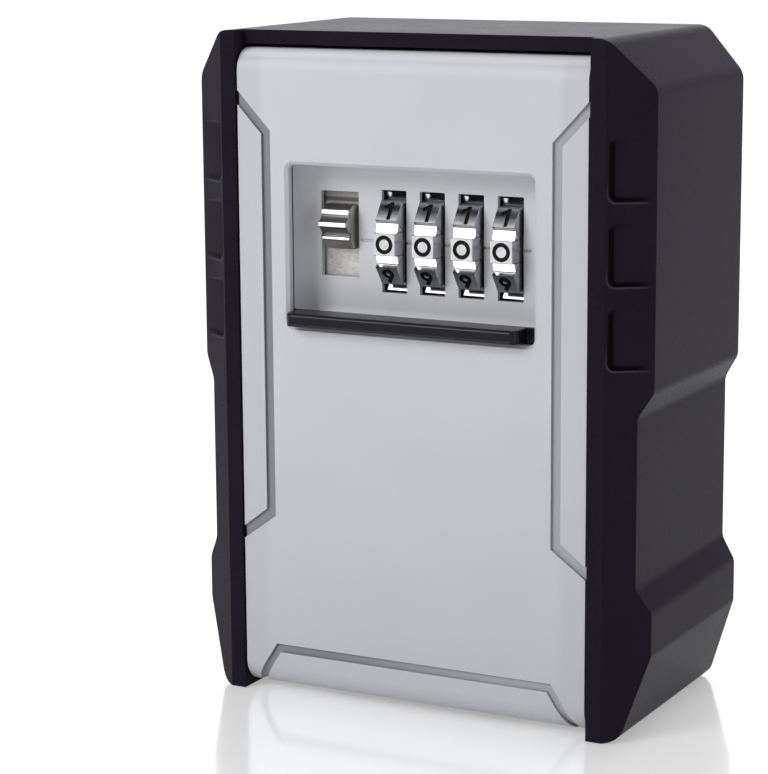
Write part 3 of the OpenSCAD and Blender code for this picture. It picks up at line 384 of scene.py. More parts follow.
def grip_painted_highlights():
    """Nickel with painted shade in the hollows and a painted highlight on the ridges.
    The middle ridge is where y < -20.2 mm; the outer two are where y < -18.7 mm and z
    lies above 104.8 or below 100.3 mm. The sides and the slope under them get painted
    mid-tones in place of their reflections."""
    finish, tree, shader, place = new_finish("grip_painted_highlights", metallic=1.0)
    x, y, z = places(tree, place)
    marks = noise(tree, place, 0.25, 3.0, (12, 1, 1))
    hollow_shade = shaded(tree, marks, (0.11, 0.104, 0.103), (0.18, 0.172, 0.17))
    ridge_highlight = shaded(tree, marks, (0.78, 0.76, 0.76), (0.9, 0.88, 0.88))
    above = maths(tree, "GREATER_THAN", z, UPPER_RIDGE_Z)
    below = maths(tree, "LESS_THAN", z, LOWER_RIDGE_Z)
    outer = both(tree, maths(tree, "MAXIMUM", above, below), ridge_from(tree, y, OUTER_RIDGE_Y))
    ridge = maths(tree, "MAXIMUM", ridge_from(tree, y, MIDDLE_RIDGE_Y), outer)
    # painted highlight on the ridges over painted shade in the hollows
    nickel = blend_colours(tree, ridge, hollow_shade, ridge_highlight)
    slope = spread(tree, z, 1.0, 0.0, *GRIP_SLOPE_Z)
    # painted mid-tone on the slope under the ridges, in place of its reflection
    nickel = blend_colours(tree, slope, nickel, (0.45, 0.43, 0.41))
    side = maths(tree, "GREATER_THAN", away_from(tree, x, LEVER_X), GRIP_SIDE)
    # painted mid-tone on the grip's sides, in place of their reflection
    nickel = blend_colours(tree, side, nickel, (0.42, 0.405, 0.4))
    tree.links.new(nickel, shader.inputs["Base Color"])
    polish = maths(tree, "MULTIPLY", ridge, 0.16)
    gloss = maths(tree, "SUBTRACT", spread(tree, marks, 0.34, 0.46), polish)
    tree.links.new(gloss, shader.inputs["Roughness"])
    relief(tree, shader, marks, 0.003, 0.4)
    return finish


def latch_painted_shade():
    """Nickel with painted shade above z = 106.9 mm, in brown, and a painted shadow line,
    darker still, just over that edge; a brushed beige below."""
    finish, tree, shader, place = new_finish("latch_painted_shade", metallic=0.7, specular=0.3)
    height = places(tree, place)[2]
    marks = noise(tree, place, 0.35, 3.0, (3, 1, 1))
    beige = shaded(tree, marks, (0.38, 0.367, 0.35), (0.56, 0.542, 0.52))
    # painted shadow line just over the edge of the slot's shade
    line = band(tree, height, *LATCH_LINE_Z)
    brown = blend_colours(tree, line, (0.25, 0.236, 0.228), (0.1, 0.093, 0.09))
    above = spread(tree, height, 0.0, 1.0, *LATCH_EDGE_Z)
    # painted shade of the slot, in brown, above z = 106.9 mm, over the beige
    tree.links.new(blend_colours(tree, above, beige, brown), shader.inputs["Base Color"])
    tree.links.new(spread(tree, marks, 0.38, 0.5), shader.inputs["Roughness"])
    relief(tree, shader, marks, 0.006, 0.5)
    return finish


grip_nickel = grip_painted_highlights()
latch_nickel = latch_painted_shade()
print("by place:", grip_nickel.name, "and", latch_nickel.name)

# %% [markdown]
# ### Black plastic with six grip pads
#
# Each wing of the case slopes back from the door and carries three pads,
# which are moulded in one with it. They are pressed in beside the door and
# run out flush at the wing's outer edge, so a step bounds them on three
# sides. The soft lamps light that step almost evenly, so the finish paints its
# shade as a dark line, with a painted highlight under it. The finish measures how far a
# place lies from the edge of a rounded rectangle, along the slope.

# %% Case plastic
PAD_MIDDLES, PAD_HALF_HEIGHT, PAD_ROUND = (84.2, 101.1, 118.0), 6.6, 1.7
PAD_PITCH = PAD_MIDDLES[1] - PAD_MIDDLES[0]
PAD_START, PAD_END = 0.6, 16.0
WING_Y, WING_X, WING_FADE_X = -17.0, 43.8, (49.5, 52.0)
SLOPE_START_X, SLOPE_PER_X = 44.0, 10.4 / 8.5
PAD_SHADE_LINE, PAD_SHADE_ENDS_OVER = (-1.2, -0.6, -0.15, 0.0), (4.6, 5.8)
PAD_HIGHLIGHT_LINE, PAD_HIGHLIGHT_ENDS_OVER = (-0.05, 0.1, 0.25, 0.5), (-6.2, -2.0)


def pad_distance(tree, x, z):
    """x and z are in millimetres. Distance to a rounded rectangle's edge, less
    than 0 inside: with q the distance beyond each inner edge, it is |max(q, 0)|
    + min(max(q), 0) - the corner's radius. The nearest pad in z counts."""
    half, middle = (PAD_END - PAD_START) / 2, (PAD_END + PAD_START) / 2
    along = maths(tree, "MULTIPLY", x, SLOPE_PER_X)
    beside = away_from(tree, along, SLOPE_START_X * SLOPE_PER_X + middle)
    beyond_x = maths(tree, "SUBTRACT", beside, half - PAD_ROUND)
    low, centre, high = (away_from(tree, z, at) for at in PAD_MIDDLES)
    nearest = maths(tree, "MINIMUM", maths(tree, "MINIMUM", low, centre), high)
    beyond_z = maths(tree, "SUBTRACT", nearest, PAD_HALF_HEIGHT - PAD_ROUND)
    clip_x, clip_z = maths(tree, "MAXIMUM", beyond_x, 0.0), maths(tree, "MAXIMUM", beyond_z, 0.0)
    inside = maths(tree, "MINIMUM", maths(tree, "MAXIMUM", beyond_x, beyond_z), 0.0)
    distance = maths(tree, "ADD", length(tree, clip_x, clip_z), inside)
    return maths(tree, "SUBTRACT", distance, PAD_ROUND)


def case_plastic():
    """Pebbled black plastic under a faint violet sheen. On the wings a painted shade
    runs as a dark line inside each pad's step, except at its top, and a painted highlight
    outside it below. Both fade towards the wing's outer edge."""
    finish, tree, shader, place = new_finish("black_case", specular=0.018)
    shader.inputs["Specular Tint"].default_value = (0.78, 0.74, 1.0, 1.0)
    shader.inputs["Sheen Weight"].default_value = 0.06
    shader.inputs["Sheen Roughness"].default_value = 0.4
    shader.inputs["Sheen Tint"].default_value = (0.8, 0.75, 1.0, 1.0)
    shade = pebble_grain(tree, shader, place, (0.25, 0.31), 0.4, 0.0025)
    plastic = shaded(tree, shade, (0.0112, 0.009, 0.0148), (0.015, 0.0122, 0.0198))
    x, y, z = places(tree, place)
    x = maths(tree, "ABSOLUTE", x)
    gap = pad_distance(tree, x, z)
    over = fold(tree, maths(tree, "SUBTRACT", z, PAD_MIDDLES[0]), PAD_PITCH)
    wing = both(tree, maths(tree, "LESS_THAN", y, WING_Y), maths(tree, "GREATER_THAN", x, WING_X))
    fade = both(tree, wing, spread(tree, x, 1.0, 0.0, *WING_FADE_X))
    not_top = both(tree, fade, spread(tree, over, 1.0, 0.0, *PAD_SHADE_ENDS_OVER))
    low_down = both(tree, fade, spread(tree, over, 1.0, 0.0, *PAD_HIGHLIGHT_ENDS_OVER))
    dark = both(tree, not_top, band(tree, gap, *PAD_SHADE_LINE))
    pad_highlight = both(tree, low_down, band(tree, gap, *PAD_HIGHLIGHT_LINE))
    # painted shade of each pad's step
    plastic = blend_colours(tree, dark, plastic, (0.0015, 0.0013, 0.002))
    # painted highlight under each pad's step
    plastic = blend_colours(tree, pad_highlight, plastic, (0.04, 0.036, 0.046))
    tree.links.new(plastic, shader.inputs["Base Color"])
    return finish


black_case = case_plastic()
print("pads at", PAD_MIDDLES, "mm, one every", round(PAD_PITCH, 1), "mm")

# %% [markdown]
# ### Painted shade in the door's grooves
#
# The door is one casting with shallow lines pressed into its face. On the
# real door the lines look darker than the face beside them, because less
# light gets into them, and the finish paints that shade into them. A texture could paint it, but the
# finish can also work it out: the face is flat with a rolled top and bottom,
# so the depth of any point below it follows from its Y and Z alone.

# %% Door paint
DOOR_FACE_Y, DOOR_LOW_Z, DOOR_TOP_Z = -25.1, 1.0, 139.8
ROLL_LOW, ROLL_TOP = 5.5, 5.0
GROOVE_DEPTH, GROOVES_BESIDE_X, GROOVES_BELOW_Z = (0.1, 0.45), 31.0, 20.0
# painted shade colours for the left and right grooves
LEFT_GROOVE_SHADE, RIGHT_GROOVE_SHADE = (0.21, 0.216, 0.24), (0.35, 0.358, 0.39)
# where painted shade falls on the side strips and the foot, and painted light on the roll's top
STRIPS_SHADE_X, FOOT_SHADE_Z, ROLL_PAINTED_LIGHT_Z = (33.5, 35.5), (12.0, 70.0), (137.8, 139.2)
LEFT_TO_RIGHT_X = (-20.0, 20.0)


def roll_depth(tree, y, z, radius, centre_z, sign):
    """Depth = radius - sqrt((centre_y - y)^2 + beyond^2), where beyond is how far
    z lies past the roll's centre; on the flat face this is y - face."""
    past = maths(tree, "MULTIPLY", maths(tree, "SUBTRACT", z, centre_z), sign)
    back = maths(tree, "SUBTRACT", DOOR_FACE_Y + radius, y)
    return maths(tree, "SUBTRACT", radius, length(tree, back, maths(tree, "MAXIMUM", past, 0.0)))


def door_paint():
    """Sprayed paint whose colour goes over to a painted groove shade where the depth below
    the door's face passes 0.1 to 0.45 mm, outside the window. The left groove's painted
    shade is darker than the right one's. The side strips and the foot get a tone of
    painted shade, and the top 2 mm of the roll a painted light."""
    finish, tree, shader, place = new_finish("grey_door", specular=0.4)
    shade = paint_grain(tree, shader, place, (0.42, 0.55), CLOUD_MM, 1.6, 0.008, 0.4)
    paint = shaded(tree, shade, (0.528, 0.541, 0.58), (0.56, 0.573, 0.615))
    x, y, z = places(tree, place)
    side = maths(tree, "ABSOLUTE", x)
    # painted shade: the side strips a tone darker
    strips = spread(tree, side, 0.0, 1.0, *STRIPS_SHADE_X)
    paint = blend_colours(tree, strips, paint, (0.5, 0.512, 0.546))
    # painted shade: darker towards the foot
    foot = spread(tree, z, 0.5, 0.0, *FOOT_SHADE_Z)
    paint = blend_colours(tree, foot, paint, (0.42, 0.43, 0.46))
    # painted light on the top 2 mm of the roll, against the shade of the strip above
    roll = spread(tree, z, 0.0, 1.0, *ROLL_PAINTED_LIGHT_Z)
    paint = blend_colours(tree, roll, paint, (0.78, 0.795, 0.84))
    depth = maths(tree, "MINIMUM",
                  roll_depth(tree, y, z, ROLL_LOW, DOOR_LOW_Z + ROLL_LOW, -1.0),
                  roll_depth(tree, y, z, ROLL_TOP, DOOR_TOP_Z - ROLL_TOP, 1.0))
    beside = maths(tree, "GREATER_THAN", side, GROOVES_BESIDE_X)
    below = maths(tree, "LESS_THAN", z, GROOVES_BELOW_Z)
    sunk = spread(tree, depth, 0.0, 1.0, *GROOVE_DEPTH)
    groove = both(tree, sunk, maths(tree, "MAXIMUM", beside, below))
    rightwards = spread(tree, x, 0.0, 1.0, *LEFT_TO_RIGHT_X)
    # painted shade in the grooves, darker in the left one
    line = blend_colours(tree, rightwards, LEFT_GROOVE_SHADE, RIGHT_GROOVE_SHADE)
    tree.links.new(blend_colours(tree, groove, paint, line), shader.inputs["Base Color"])
    return finish


grey_door = door_paint()
print("door face at y =", DOOR_FACE_Y, "mm, rolls", ROLL_LOW, "and", ROLL_TOP, "mm")

# %% [markdown]
# ### The dial plate and the painted shade of its channel
#
# The shutter runs in a narrow channel behind the door's skin. Round the window
# the shade inside it shows as a thin dark line between the skin and the plate,
# so the finish paints the channel's walls black as painted shade. The channel lies in front of
# one depth and outside the scooped recess, so the same finish can tell it from the plate by place.

# %% Plate paint
RECESS_HALF_WIDTH, RECESS_TOP_Z, CHANNEL_Y = 28.45, 115.9, -21.6


def plate_paint():
    """Sprayed paint, its grey a little lighter than the door's as painted light against the
    recess's shade; painted black shade where y is in front of the channel's floor and the place
    is outside the recess, at its sides or above it."""
    finish, tree, shader, place = new_finish("grey_plate", specular=0.4)
    shade = paint_grain(tree, shader, place, (0.38, 0.5), 18.0, 1.2, 0.006, 0.4)
    # painted light: a grey a little lighter than the door's, against the recess's shade
    paint = shaded(tree, shade, (0.585, 0.595, 0.625), (0.62, 0.63, 0.66))
    x, y, z = places(tree, place)
    beside = maths(tree, "GREATER_THAN", maths(tree, "ABSOLUTE", x), RECESS_HALF_WIDTH)
    outside = maths(tree, "MAXIMUM", beside, maths(tree, "GREATER_THAN", z, RECESS_TOP_Z))
    channel = both(tree, outside, maths(tree, "LESS_THAN", y, CHANNEL_Y))
    # painted shade: the channel's walls in black
    paint = blend_colours(tree, channel, paint, (0.006, 0.0055, 0.0075))
    tree.links.new(paint, shader.inputs["Base Color"])
    return finish


grey_plate = plate_paint()
print("channel in front of y =", CHANNEL_Y, "mm")

# %% [markdown]
# ### Chrome dials with black digits
#
# The digits are engraved in the flat lands of each dial and filled with black
# paint. The finish finds the paint by place: it works out how far a point
# lies from the spindle, measured square to the nearest land. Inside a land
# anything deeper than the chrome surface is paint. Dark lines of painted shade mark the two
# edges of each land, where the chrome turns away, and the chrome between the lands is
# painted lighter, as a painted reflection.

# %% Chrome with painted digits
LANDS, LAND_HALF_HEIGHT, REFLECTION_BETWEEN_FROM = 10, 2.35, 2.5
LAND_EDGE_SHADE, PAINT_DEPTH, PLAIN_RIM = (2.2, 2.32, 2.5, 2.62), (0.06, 0.6), 0.2


def painted_dial(name, middle_x):
    """Depth below a land = land radius - r cos(a), where a is the angle to the
    nearest of the ten lands; paint is where that depth lies between two limits,
    the offset r sin(a) is small and the place is inside the dial's sides. The
    chrome is painted lighter between the lands, as a painted reflection, and painted dark
    along their two edges, as painted shade."""
    finish, tree, shader, place = new_finish(name, specular=0.1)
    at_x, at_y, at_z = places(tree, place)
    y, z = maths(tree, "SUBTRACT", SPINDLE_Y, at_y), maths(tree, "SUBTRACT", at_z, SPINDLE_Z)
    angle = fold(tree, maths(tree, "ARCTAN2", z, y), 2 * math.pi / LANDS)
    radius = length(tree, y, z)
    square_on = maths(tree, "MULTIPLY", radius, maths(tree, "COSINE", angle))
    depth = maths(tree, "SUBTRACT", LAND_RADIUS, square_on)
    offset = maths(tree, "ABSOLUTE", maths(tree, "MULTIPLY", radius, maths(tree, "SINE", angle)))
    across = away_from(tree, at_x, middle_x)
    inside = both(tree, maths(tree, "LESS_THAN", offset, LAND_HALF_HEIGHT),
                  maths(tree, "LESS_THAN", across, DIAL_WIDTH / 2 - PLAIN_RIM))
    deep = both(tree, maths(tree, "GREATER_THAN", depth, PAINT_DEPTH[0]),
                maths(tree, "LESS_THAN", depth, PAINT_DEPTH[1]))
    paint = both(tree, inside, deep)
    marks = noise(tree, place, 0.1, 2.0, (10, 1, 1))
    shade = mixed(tree, marks, noise(tree, place, 2.0, 2.0), 0.4)
    chrome = shaded(tree, shade, (0.44, 0.44, 0.455), (0.64, 0.64, 0.66))
    between = spread(tree, offset, 0.0, 1.0, LAND_HALF_HEIGHT, REFLECTION_BETWEEN_FROM)
    # painted reflection: lighter chrome between the lands
    chrome = blend_colours(tree, between, chrome, (0.74, 0.74, 0.76))
    # painted shade along both edges of each land
    chrome = blend_colours(tree, band(tree, offset, *LAND_EDGE_SHADE), chrome, (0.2, 0.2, 0.21))
    colour = blend_colours(tree, paint, chrome, (0.008, 0.008, 0.009))
    tree.links.new(colour, shader.inputs["Base Color"])
    tree.links.new(maths(tree, "SUBTRACT", 1.0, paint), shader.inputs["Metallic"])
    gloss = maths(tree, "ADD", spread(tree, shade, 0.09, 0.17), maths(tree, "MULTIPLY", paint, 0.25))
    tree.links.new(gloss, shader.inputs["Roughness"])
    relief(tree, shader, marks, 0.0006, 0.25)
    return finish


dial_finishes = [painted_dial("chrome_dial_%d" % (k + 1), DIAL_X[k]) for k in range(4)]
print("dial finishes:", [finish.name for finish in dial_finishes])

# %% [markdown]
# ## Softened edges
#
# The frame's solids have dead sharp edges, which no moulded or cast part has.
# The safest way to round them without touching the solids is a stack of
# modifiers: Weld joins the loose triangles, Decimate merges flat
# neighbours into whole faces, Bevel rounds every edge sharper than about 30
# degrees, and a small node group smooths the shading across the rest. Smooth
# shading alone would tilt the light on a flat face towards its rounded edge,
# so Weighted Normal comes last and gives each corner its largest face's
# direction.

# %% Edge softening
SMOOTH_BELOW, BEVEL_ABOVE, FLAT_BELOW = (math.radians(a) for a in (40, 30, 0.6))
WELD_M = 2e-6


def smooth_group():
    """Smooth shading everywhere, except across edges sharper than 40 degrees."""
    group = bpy.data.node_groups.new("smooth_below_40", "GeometryNodeTree")
    group.interface.new_socket("Geometry", in_out="INPUT", socket_type="NodeSocketGeometry")
    group.interface.new_socket("Geometry", in_out="OUTPUT", socket_type="NodeSocketGeometry")
    start, end = group.nodes.new("NodeGroupInput"), group.nodes.new("NodeGroupOutput")
    faces = group.nodes.new("GeometryNodeSetShadeSmooth")
    edges = group.nodes.new("GeometryNodeSetShadeSmooth")
    edges.domain = "EDGE"
    edges.inputs["Shade Smooth"].default_value = False
    angle = group.nodes.new("GeometryNodeInputMeshEdgeAngle")
    sharp = group.nodes.new("FunctionNodeCompare")
    sharp.operation = "GREATER_THAN"
    sharp.inputs[1].default_value = SMOOTH_BELOW
    group.links.new(start.outputs[0], faces.inputs["Geometry"])
    group.links.new(faces.outputs[0], edges.inputs["Geometry"])
    group.links.new(angle.outputs["Unsigned Angle"], sharp.inputs[0])
    group.links.new(sharp.outputs[0], edges.inputs["Selection"])
    group.links.new(edges.outputs[0], end.inputs[0])
    return group


SMOOTH = smooth_group()


def soften(piece, width_mm, segments, merge):
    """Rounds a piece's edges by width_mm with modifiers only. A face with many
    holes isn't merged first, because a merged face can't hold them."""
    weld = piece.modifiers.new("weld", "WELD")
    weld.merge_threshold = WELD_M
    if merge:
        flat = piece.modifiers.new("flat", "DECIMATE")
        flat.decimate_type = "DISSOLVE"
        flat.angle_limit = FLAT_BELOW
    bevel = piece.modifiers.new("edges", "BEVEL")
    bevel.width = width_mm * MM
    bevel.segments = segments
    bevel.limit_method = "ANGLE"
    bevel.angle_limit = BEVEL_ABOVE
    bevel.miter_outer = "MITER_ARC"
    bevel.harden_normals = False
    smooth = piece.modifiers.new("smooth", "NODES")
    smooth.node_group = SMOOTH
    facing = piece.modifiers.new("facing", "WEIGHTED_NORMAL")
    facing.keep_sharp = True
    facing.weight = 50


def dress(nodes, finish, width_mm, segments=2, merge=True):
    """Gives nodes a finish in place of the frame's plain one, and soft edges."""
    for node in nodes:
        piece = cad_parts[node]
        for slot in piece.material_slots:
            slot.link = "OBJECT"
            slot.material = finish
        soften(piece, width_mm, segments, merge)


print("smooth below", round(math.degrees(SMOOTH_BELOW)), "degrees, bevel above",
      round(math.degrees(BEVEL_ABOVE)))

# %% [markdown]
# ### Which part gets which finish
#
# The number after each finish is the width of its rounded edges in
# millimetres. Large moulded and cast parts mostly get wide ones, and small,
# stamped and turned parts narrow ones. The shell, the door and the dial plate
# keep their triangles, because their faces have many openings.

# %% Dress the parts
dress(["outer_shell"], black_case, 0.45, 3, merge=False)
dress(["front_frame"], black_frame, 0.25)
dress(["weather_seal"], seal_rubber, 0.15)
dress(["inner_case"], grey_cavity, 0.3)
dress(["hook_bar"], grey_cavity, 0.25)
dress(["hinge_bracket"], grey_cover, 0.3)
dress(["hinge_barrel"], warm_nickel, 0.2)
dress(["hinge_pin", "strike_plate", "dial_spindle", "detent_spring"], zinc_steel, 0.1)
dress(["door_panel"], grey_door, 0.28, 3, merge=False)
dress(["dial_plate"], grey_plate, 0.15, merge=False)
dress(["lock_cover"], grey_cover, 0.35, 3)
dress(["shutter_guide"], dark_guide, 0.2)
dress(["weather_shutter"], black_shutter, 0.22, 3)
dress(["latch_plate"], latch_nickel, 0.15)
dress(["latch_hook_left", "latch_hook_right", "reset_lever"], warm_nickel, 0.15)
dress(["hook_bar_screw_%d" % k for k in (1, 2, 3, 4)], zinc_steel, 0.08)
dress(["shell_screw_%d" % k for k in (1, 2, 3, 4)], zinc_steel, 0.08)
dress(["cover_screw_left", "cover_screw_right"], yellow_brass, 0.12)
dress(["code_cam_%d" % k for k in (1, 2, 3, 4)], cam_brass, 0.1)
for k in range(4):
    dress(["dial_%d" % (k + 1)], dial_finishes[k], 0.1)
dressed = [name for name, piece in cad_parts.items() if "edges" in piece.modifiers]
print("parts with softened edges:", len(dressed))

# %% [markdown]
# ## Pieces made anew
#
# Three parts of the frame are plain stand-ins for rounder things: the finger
# grip of the opening lever, the coil spring under the latch, and the two
# bent hooks for keys. Sculpting them by hand would be slow and uneven. Each
# is a surface of two parameters instead: one runs along the piece and one
# runs round it. The points come out as one numpy array, and one helper turns
# such an array into a closed mesh with its faces outwards.

# %% From a grid of points to a closed piece
def closed_piece(name, grid, finish, body, node):
    """grid[i, j] is point j of ring i. Neighbouring rings are joined by quads,
    and each end is closed by triangles to the middle of its ring. The volume is
    the sum of dot(a, cross(b, c)) / 6, and a negative one turns all faces."""
    rings, sides = grid.shape[:2]
    points = np.concatenate([grid.reshape(-1, 3), grid[[0, -1]].mean(axis=1)]) * MM
    i, j = np.meshgrid(np.arange(rings - 1), np.arange(sides), indexing="ij")
    a, b = (i * sides + j).ravel(), (i * sides + (j + 1) % sides).ravel()
    walls = np.concatenate([np.column_stack([a, b, b + sides]),
                            np.column_stack([a, b + sides, a + sides])])
    k = np.arange(sides)
    n = (k + 1) % sides
    last, first_pole, last_pole = (rings - 1) * sides, rings * sides, rings * sides + 1
    ends = np.concatenate([np.column_stack([n, k, np.full(sides, first_pole)]),
                           np.column_stack([last + k, last + n, np.full(sides, last_pole)])])
    faces = np.concatenate([walls, ends])
    corner = points[faces]
    volume = np.einsum("ij,ij->i", corner[:, 0], np.cross(corner[:, 1], corner[:, 2])).sum() / 6
    if volume < 0:
        faces = faces[:, ::-1]
    mesh = bpy.data.meshes.new(name)
    mesh.vertices.add(len(points))
    mesh.vertices.foreach_set("co", points.ravel())
    mesh.loops.add(faces.size)
    mesh.loops.foreach_set("vertex_index", faces.ravel().astype(np.int32))
    mesh.polygons.add(len(faces))
    mesh.polygons.foreach_set("loop_start", np.arange(0, faces.size, 3, dtype=np.int32))
    mesh.update(calc_edges=True)
    mesh.validate()
    mesh.polygons.foreach_set("use_smooth", np.ones(len(faces), dtype=bool))
    mesh.materials.append(finish)
    piece = bpy.data.objects.new(name, mesh)
    bpy.context.scene.collection.objects.link(piece)
    smooth = piece.modifiers.new("smooth", "NODES")
    smooth.node_group = SMOOTH
    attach(piece, body)
    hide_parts(node)
    print(name, len(faces), "triangles,", round(abs(volume) * 1e9, 1), "mm3")
    return piece


# %% [markdown]
# ### The grip of the opening lever
#
# The grip is a short cast bar with three rounded ridges for a fingertip, the
# middle one standing furthest out. Its side outline is a polygon whose
# corners are rounded by arcs, and the outline is carried along X. Near each
# end it shrinks along a quarter circle, which rounds the two side edges.

# %% Lever grip
def rounded_outline(corners, radii, steps=6):
    """Each corner b between a and c becomes an arc: its centre lies on the
    bisector at r / sin(half the angle), and its ends at r / tan(half)."""
    b = np.array(corners, float)
    a, c = np.roll(b, 1, axis=0), np.roll(b, -1, axis=0)
    u, v = a - b, c - b
    u /= np.linalg.norm(u, axis=1, keepdims=True)
    v /= np.linalg.norm(v, axis=1, keepdims=True)
    half = np.arccos(np.clip((u * v).sum(axis=1), -1, 1)) / 2
    r = np.array(radii, float)
    bisector = (u + v) / np.linalg.norm(u + v, axis=1, keepdims=True)
    middle = b + bisector * (r / np.sin(half))[:, None]
    start = b + u * (r / np.tan(half))[:, None] - middle
    end = b + v * (r / np.tan(half))[:, None] - middle
    first = np.arctan2(start[:, 1], start[:, 0])
    cross = start[:, 0] * end[:, 1] - start[:, 1] * end[:, 0]
    turn = np.arctan2(cross, (start * end).sum(axis=1))
    angle = first[:, None] + turn[:, None] * np.linspace(0, 1, steps)[None, :]
    arcs = middle[:, None, :] + r[:, None, None] * np.stack([np.cos(angle), np.sin(angle)], axis=2)
    return arcs.reshape(-1, 2)


def outline_along_x(outline, left, right, edge, steps=6):
    """Point = outline shrunk along its own normals by edge * (1 - sin(t)) at the
    distance edge * (1 - cos(t)) from each end, and unchanged between."""
    ahead, behind = np.roll(outline, -1, axis=0), np.roll(outline, 1, axis=0)
    along = ahead - behind
    normal = np.column_stack([along[:, 1], -along[:, 0]])
    normal /= np.linalg.norm(normal, axis=1, keepdims=True)
    area = (outline[:, 0] * ahead[:, 1] - ahead[:, 0] * outline[:, 1]).sum()
    normal *= np.sign(area)
    t = np.linspace(0, np.pi / 2, steps)
    inset = edge * (1 - np.sin(t))
    x = np.concatenate([left + edge * (1 - np.cos(t)), (right - edge * (1 - np.cos(t)))[::-1]])
    shrink = np.concatenate([inset, inset[::-1]])
    flat = outline[None, :, :] - normal[None, :, :] * shrink[:, None, None]
    column = np.broadcast_to(x[:, None, None], flat.shape[:2] + (1,))
    return np.concatenate([column, flat], axis=2)


GRIP = [(-14.2, 97.4), (-16.9, 97.4), (-18.3, 99.55), (-18.9, 99.6), (-18.9, 100.1),
        (-18.3, 100.35), (-20.0, 102.4), (-20.45, 102.5), (-20.45, 103.3), (-20.0, 103.5),
        (-18.5, 104.75), (-19.1, 104.95), (-19.1, 105.9), (-18.3, 106.1), (-16.8, 106.85),
        (-14.2, 106.85)]
GRIP_ROUND = [0.1, 0.4, 0.2, 0.15, 0.15, 0.2, 0.2, 0.2, 0.2, 0.2, 0.25, 0.2, 0.25, 0.25, 0.3, 0.1]
GRIP_HALF_WIDTH, GRIP_EDGE = 3.4, 0.22
grip_left, grip_right = LEVER_X - GRIP_HALF_WIDTH, LEVER_X + GRIP_HALF_WIDTH
grip_outline = rounded_outline(GRIP, GRIP_ROUND)
closed_piece("lever_grip", outline_along_x(grip_outline, grip_left, grip_right, GRIP_EDGE),
             grip_nickel, "latch", "opening_lever")

# %% [markdown]
# ### The spring under the latch
#
# A compression spring is a round wire on a helix whose first and last turns
# lie close, so that it stands square on its seat. When the latch comes down
# a real spring keeps its turns and only its pitch shrinks.

# %% Latch spring
SPRING_X, SPRING_Y, SPRING_LOW, SPRING_HIGH = -19.5, -11.85, 79.0, 90.5
SPRING_RADIUS, WIRE_RADIUS, SPRING_TURNS = 2.0, 0.25, 5
END_CLIMB = 2.2


def coil(x, y, low, high, radius, wire, turns, per_turn=40, sides=12):
    """Ring k stands at the angle 2 pi k / per_turn. Its point at the angle b is
    radius + wire cos b from the axis and wire sin b above the helix. The helix
    climbs 2.2 of the wire's radius in its first and last turn, so that these
    nearly touch, and evenly between."""
    t = np.linspace(0, turns, turns * per_turn + 1)
    rise = high - low - 2 * wire
    first = END_CLIMB * wire
    climb = np.interp(t, [0, 1, turns - 1, turns], [0, first, rise - first, rise])
    height = low + wire + climb
    a = 2 * np.pi * t[:, None]
    b = (2 * np.pi * np.arange(sides) / sides)[None, :]
    out = radius + wire * np.cos(b)
    return np.stack([x + out * np.cos(a), y + out * np.sin(a),
                     height[:, None] + wire * np.sin(b)], axis=2)


spring_points = coil(SPRING_X, SPRING_Y, SPRING_LOW, SPRING_HIGH,
                     SPRING_RADIUS, WIRE_RADIUS, SPRING_TURNS)
spring = closed_piece("latch_coil", spring_points, zinc_steel, "door", "latch_spring")
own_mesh(spring)

# %% [markdown]
# ### The hooks for keys
#
# Each hook is one bent wire: it leaves its strip through a small collar,
# bends up, and ends in a ball that keeps a key ring on. A curve object with
# a round bevel would give the wire but not the collar and the ball. Here one
# tube does all three, because its radius is a function of the distance along
# the wire.

# %% Key hooks
HOOK_X, STRIP_Y, HOOK_TIP_Y, HOOK_Z, HOOK_WIRE = 17.0, 24.0, 16.0, 87.92, 1.3
COLLAR_OUT, COLLAR_LENGTH, BALL_ABOVE_BEND = 1.0, 1.4, 1.7


def hook_tube(x, bend=2.4, ball=1.85, sides=28):
    """The path runs forward, turns up along a quarter circle and runs up. The
    radius is a collar's that fades to the wire's, then a ball's
    sqrt(R^2 - d^2) where that is greater, down to a point."""
    level = STRIP_Y - HOOK_TIP_Y - bend
    quarter = bend * np.pi / 2
    ball_at = level + quarter + BALL_ABOVE_BEND
    s = np.concatenate([[0.0, 0.0], np.linspace(0.01, 1.6, 14), np.linspace(1.9, level, 6)[:-1],
                        np.linspace(level, level + quarter, 18)[:-1],
                        ball_at + ball * np.sin(np.linspace(-np.pi / 3, np.pi / 2, 26))])
    angle = np.clip((s - level) / bend, 0, np.pi / 2)
    up = np.clip(s - level - quarter, 0, None)
    y = STRIP_Y - np.clip(s, 0, level) - bend * np.sin(angle)
    z = HOOK_Z + bend * (1 - np.cos(angle)) + up
    ahead = np.column_stack([np.zeros_like(s), -np.cos(angle), np.sin(angle)])
    side = np.tile([1.0, 0.0, 0.0], (len(s), 1))
    over = np.cross(side, ahead)
    collar = HOOK_WIRE + COLLAR_OUT * np.clip(1 - s / COLLAR_LENGTH, 0, 1) ** 1.5
    globe = np.sqrt(np.clip(ball ** 2 - (s - ball_at) ** 2, 1e-8, None))
    r = np.maximum(np.where(s > ball_at, 0, collar), globe)
    r[0] = 0.01
    b = (2 * np.pi * np.arange(sides) / sides)[None, :, None]
    centre = np.column_stack([np.full_like(s, x), y, z])[:, None, :]
    return centre + r[:, None, None] * (np.cos(b) * side[:, None, :] + np.sin(b) * over[:, None, :])


closed_piece("key_wire_left", hook_tube(-HOOK_X), warm_nickel, "case", "key_hook_left")
closed_piece("key_wire_right", hook_tube(HOOK_X), warm_nickel, "case", "key_hook_right")

# %% [markdown]
# ## Floor, backdrop and light
#
# The safe stands on a plain white floor that runs into a white world. The
# floor is bright where the lens sees it, mirrors the safe's foot faintly, and
# throws less light up at the safe than it seems to.

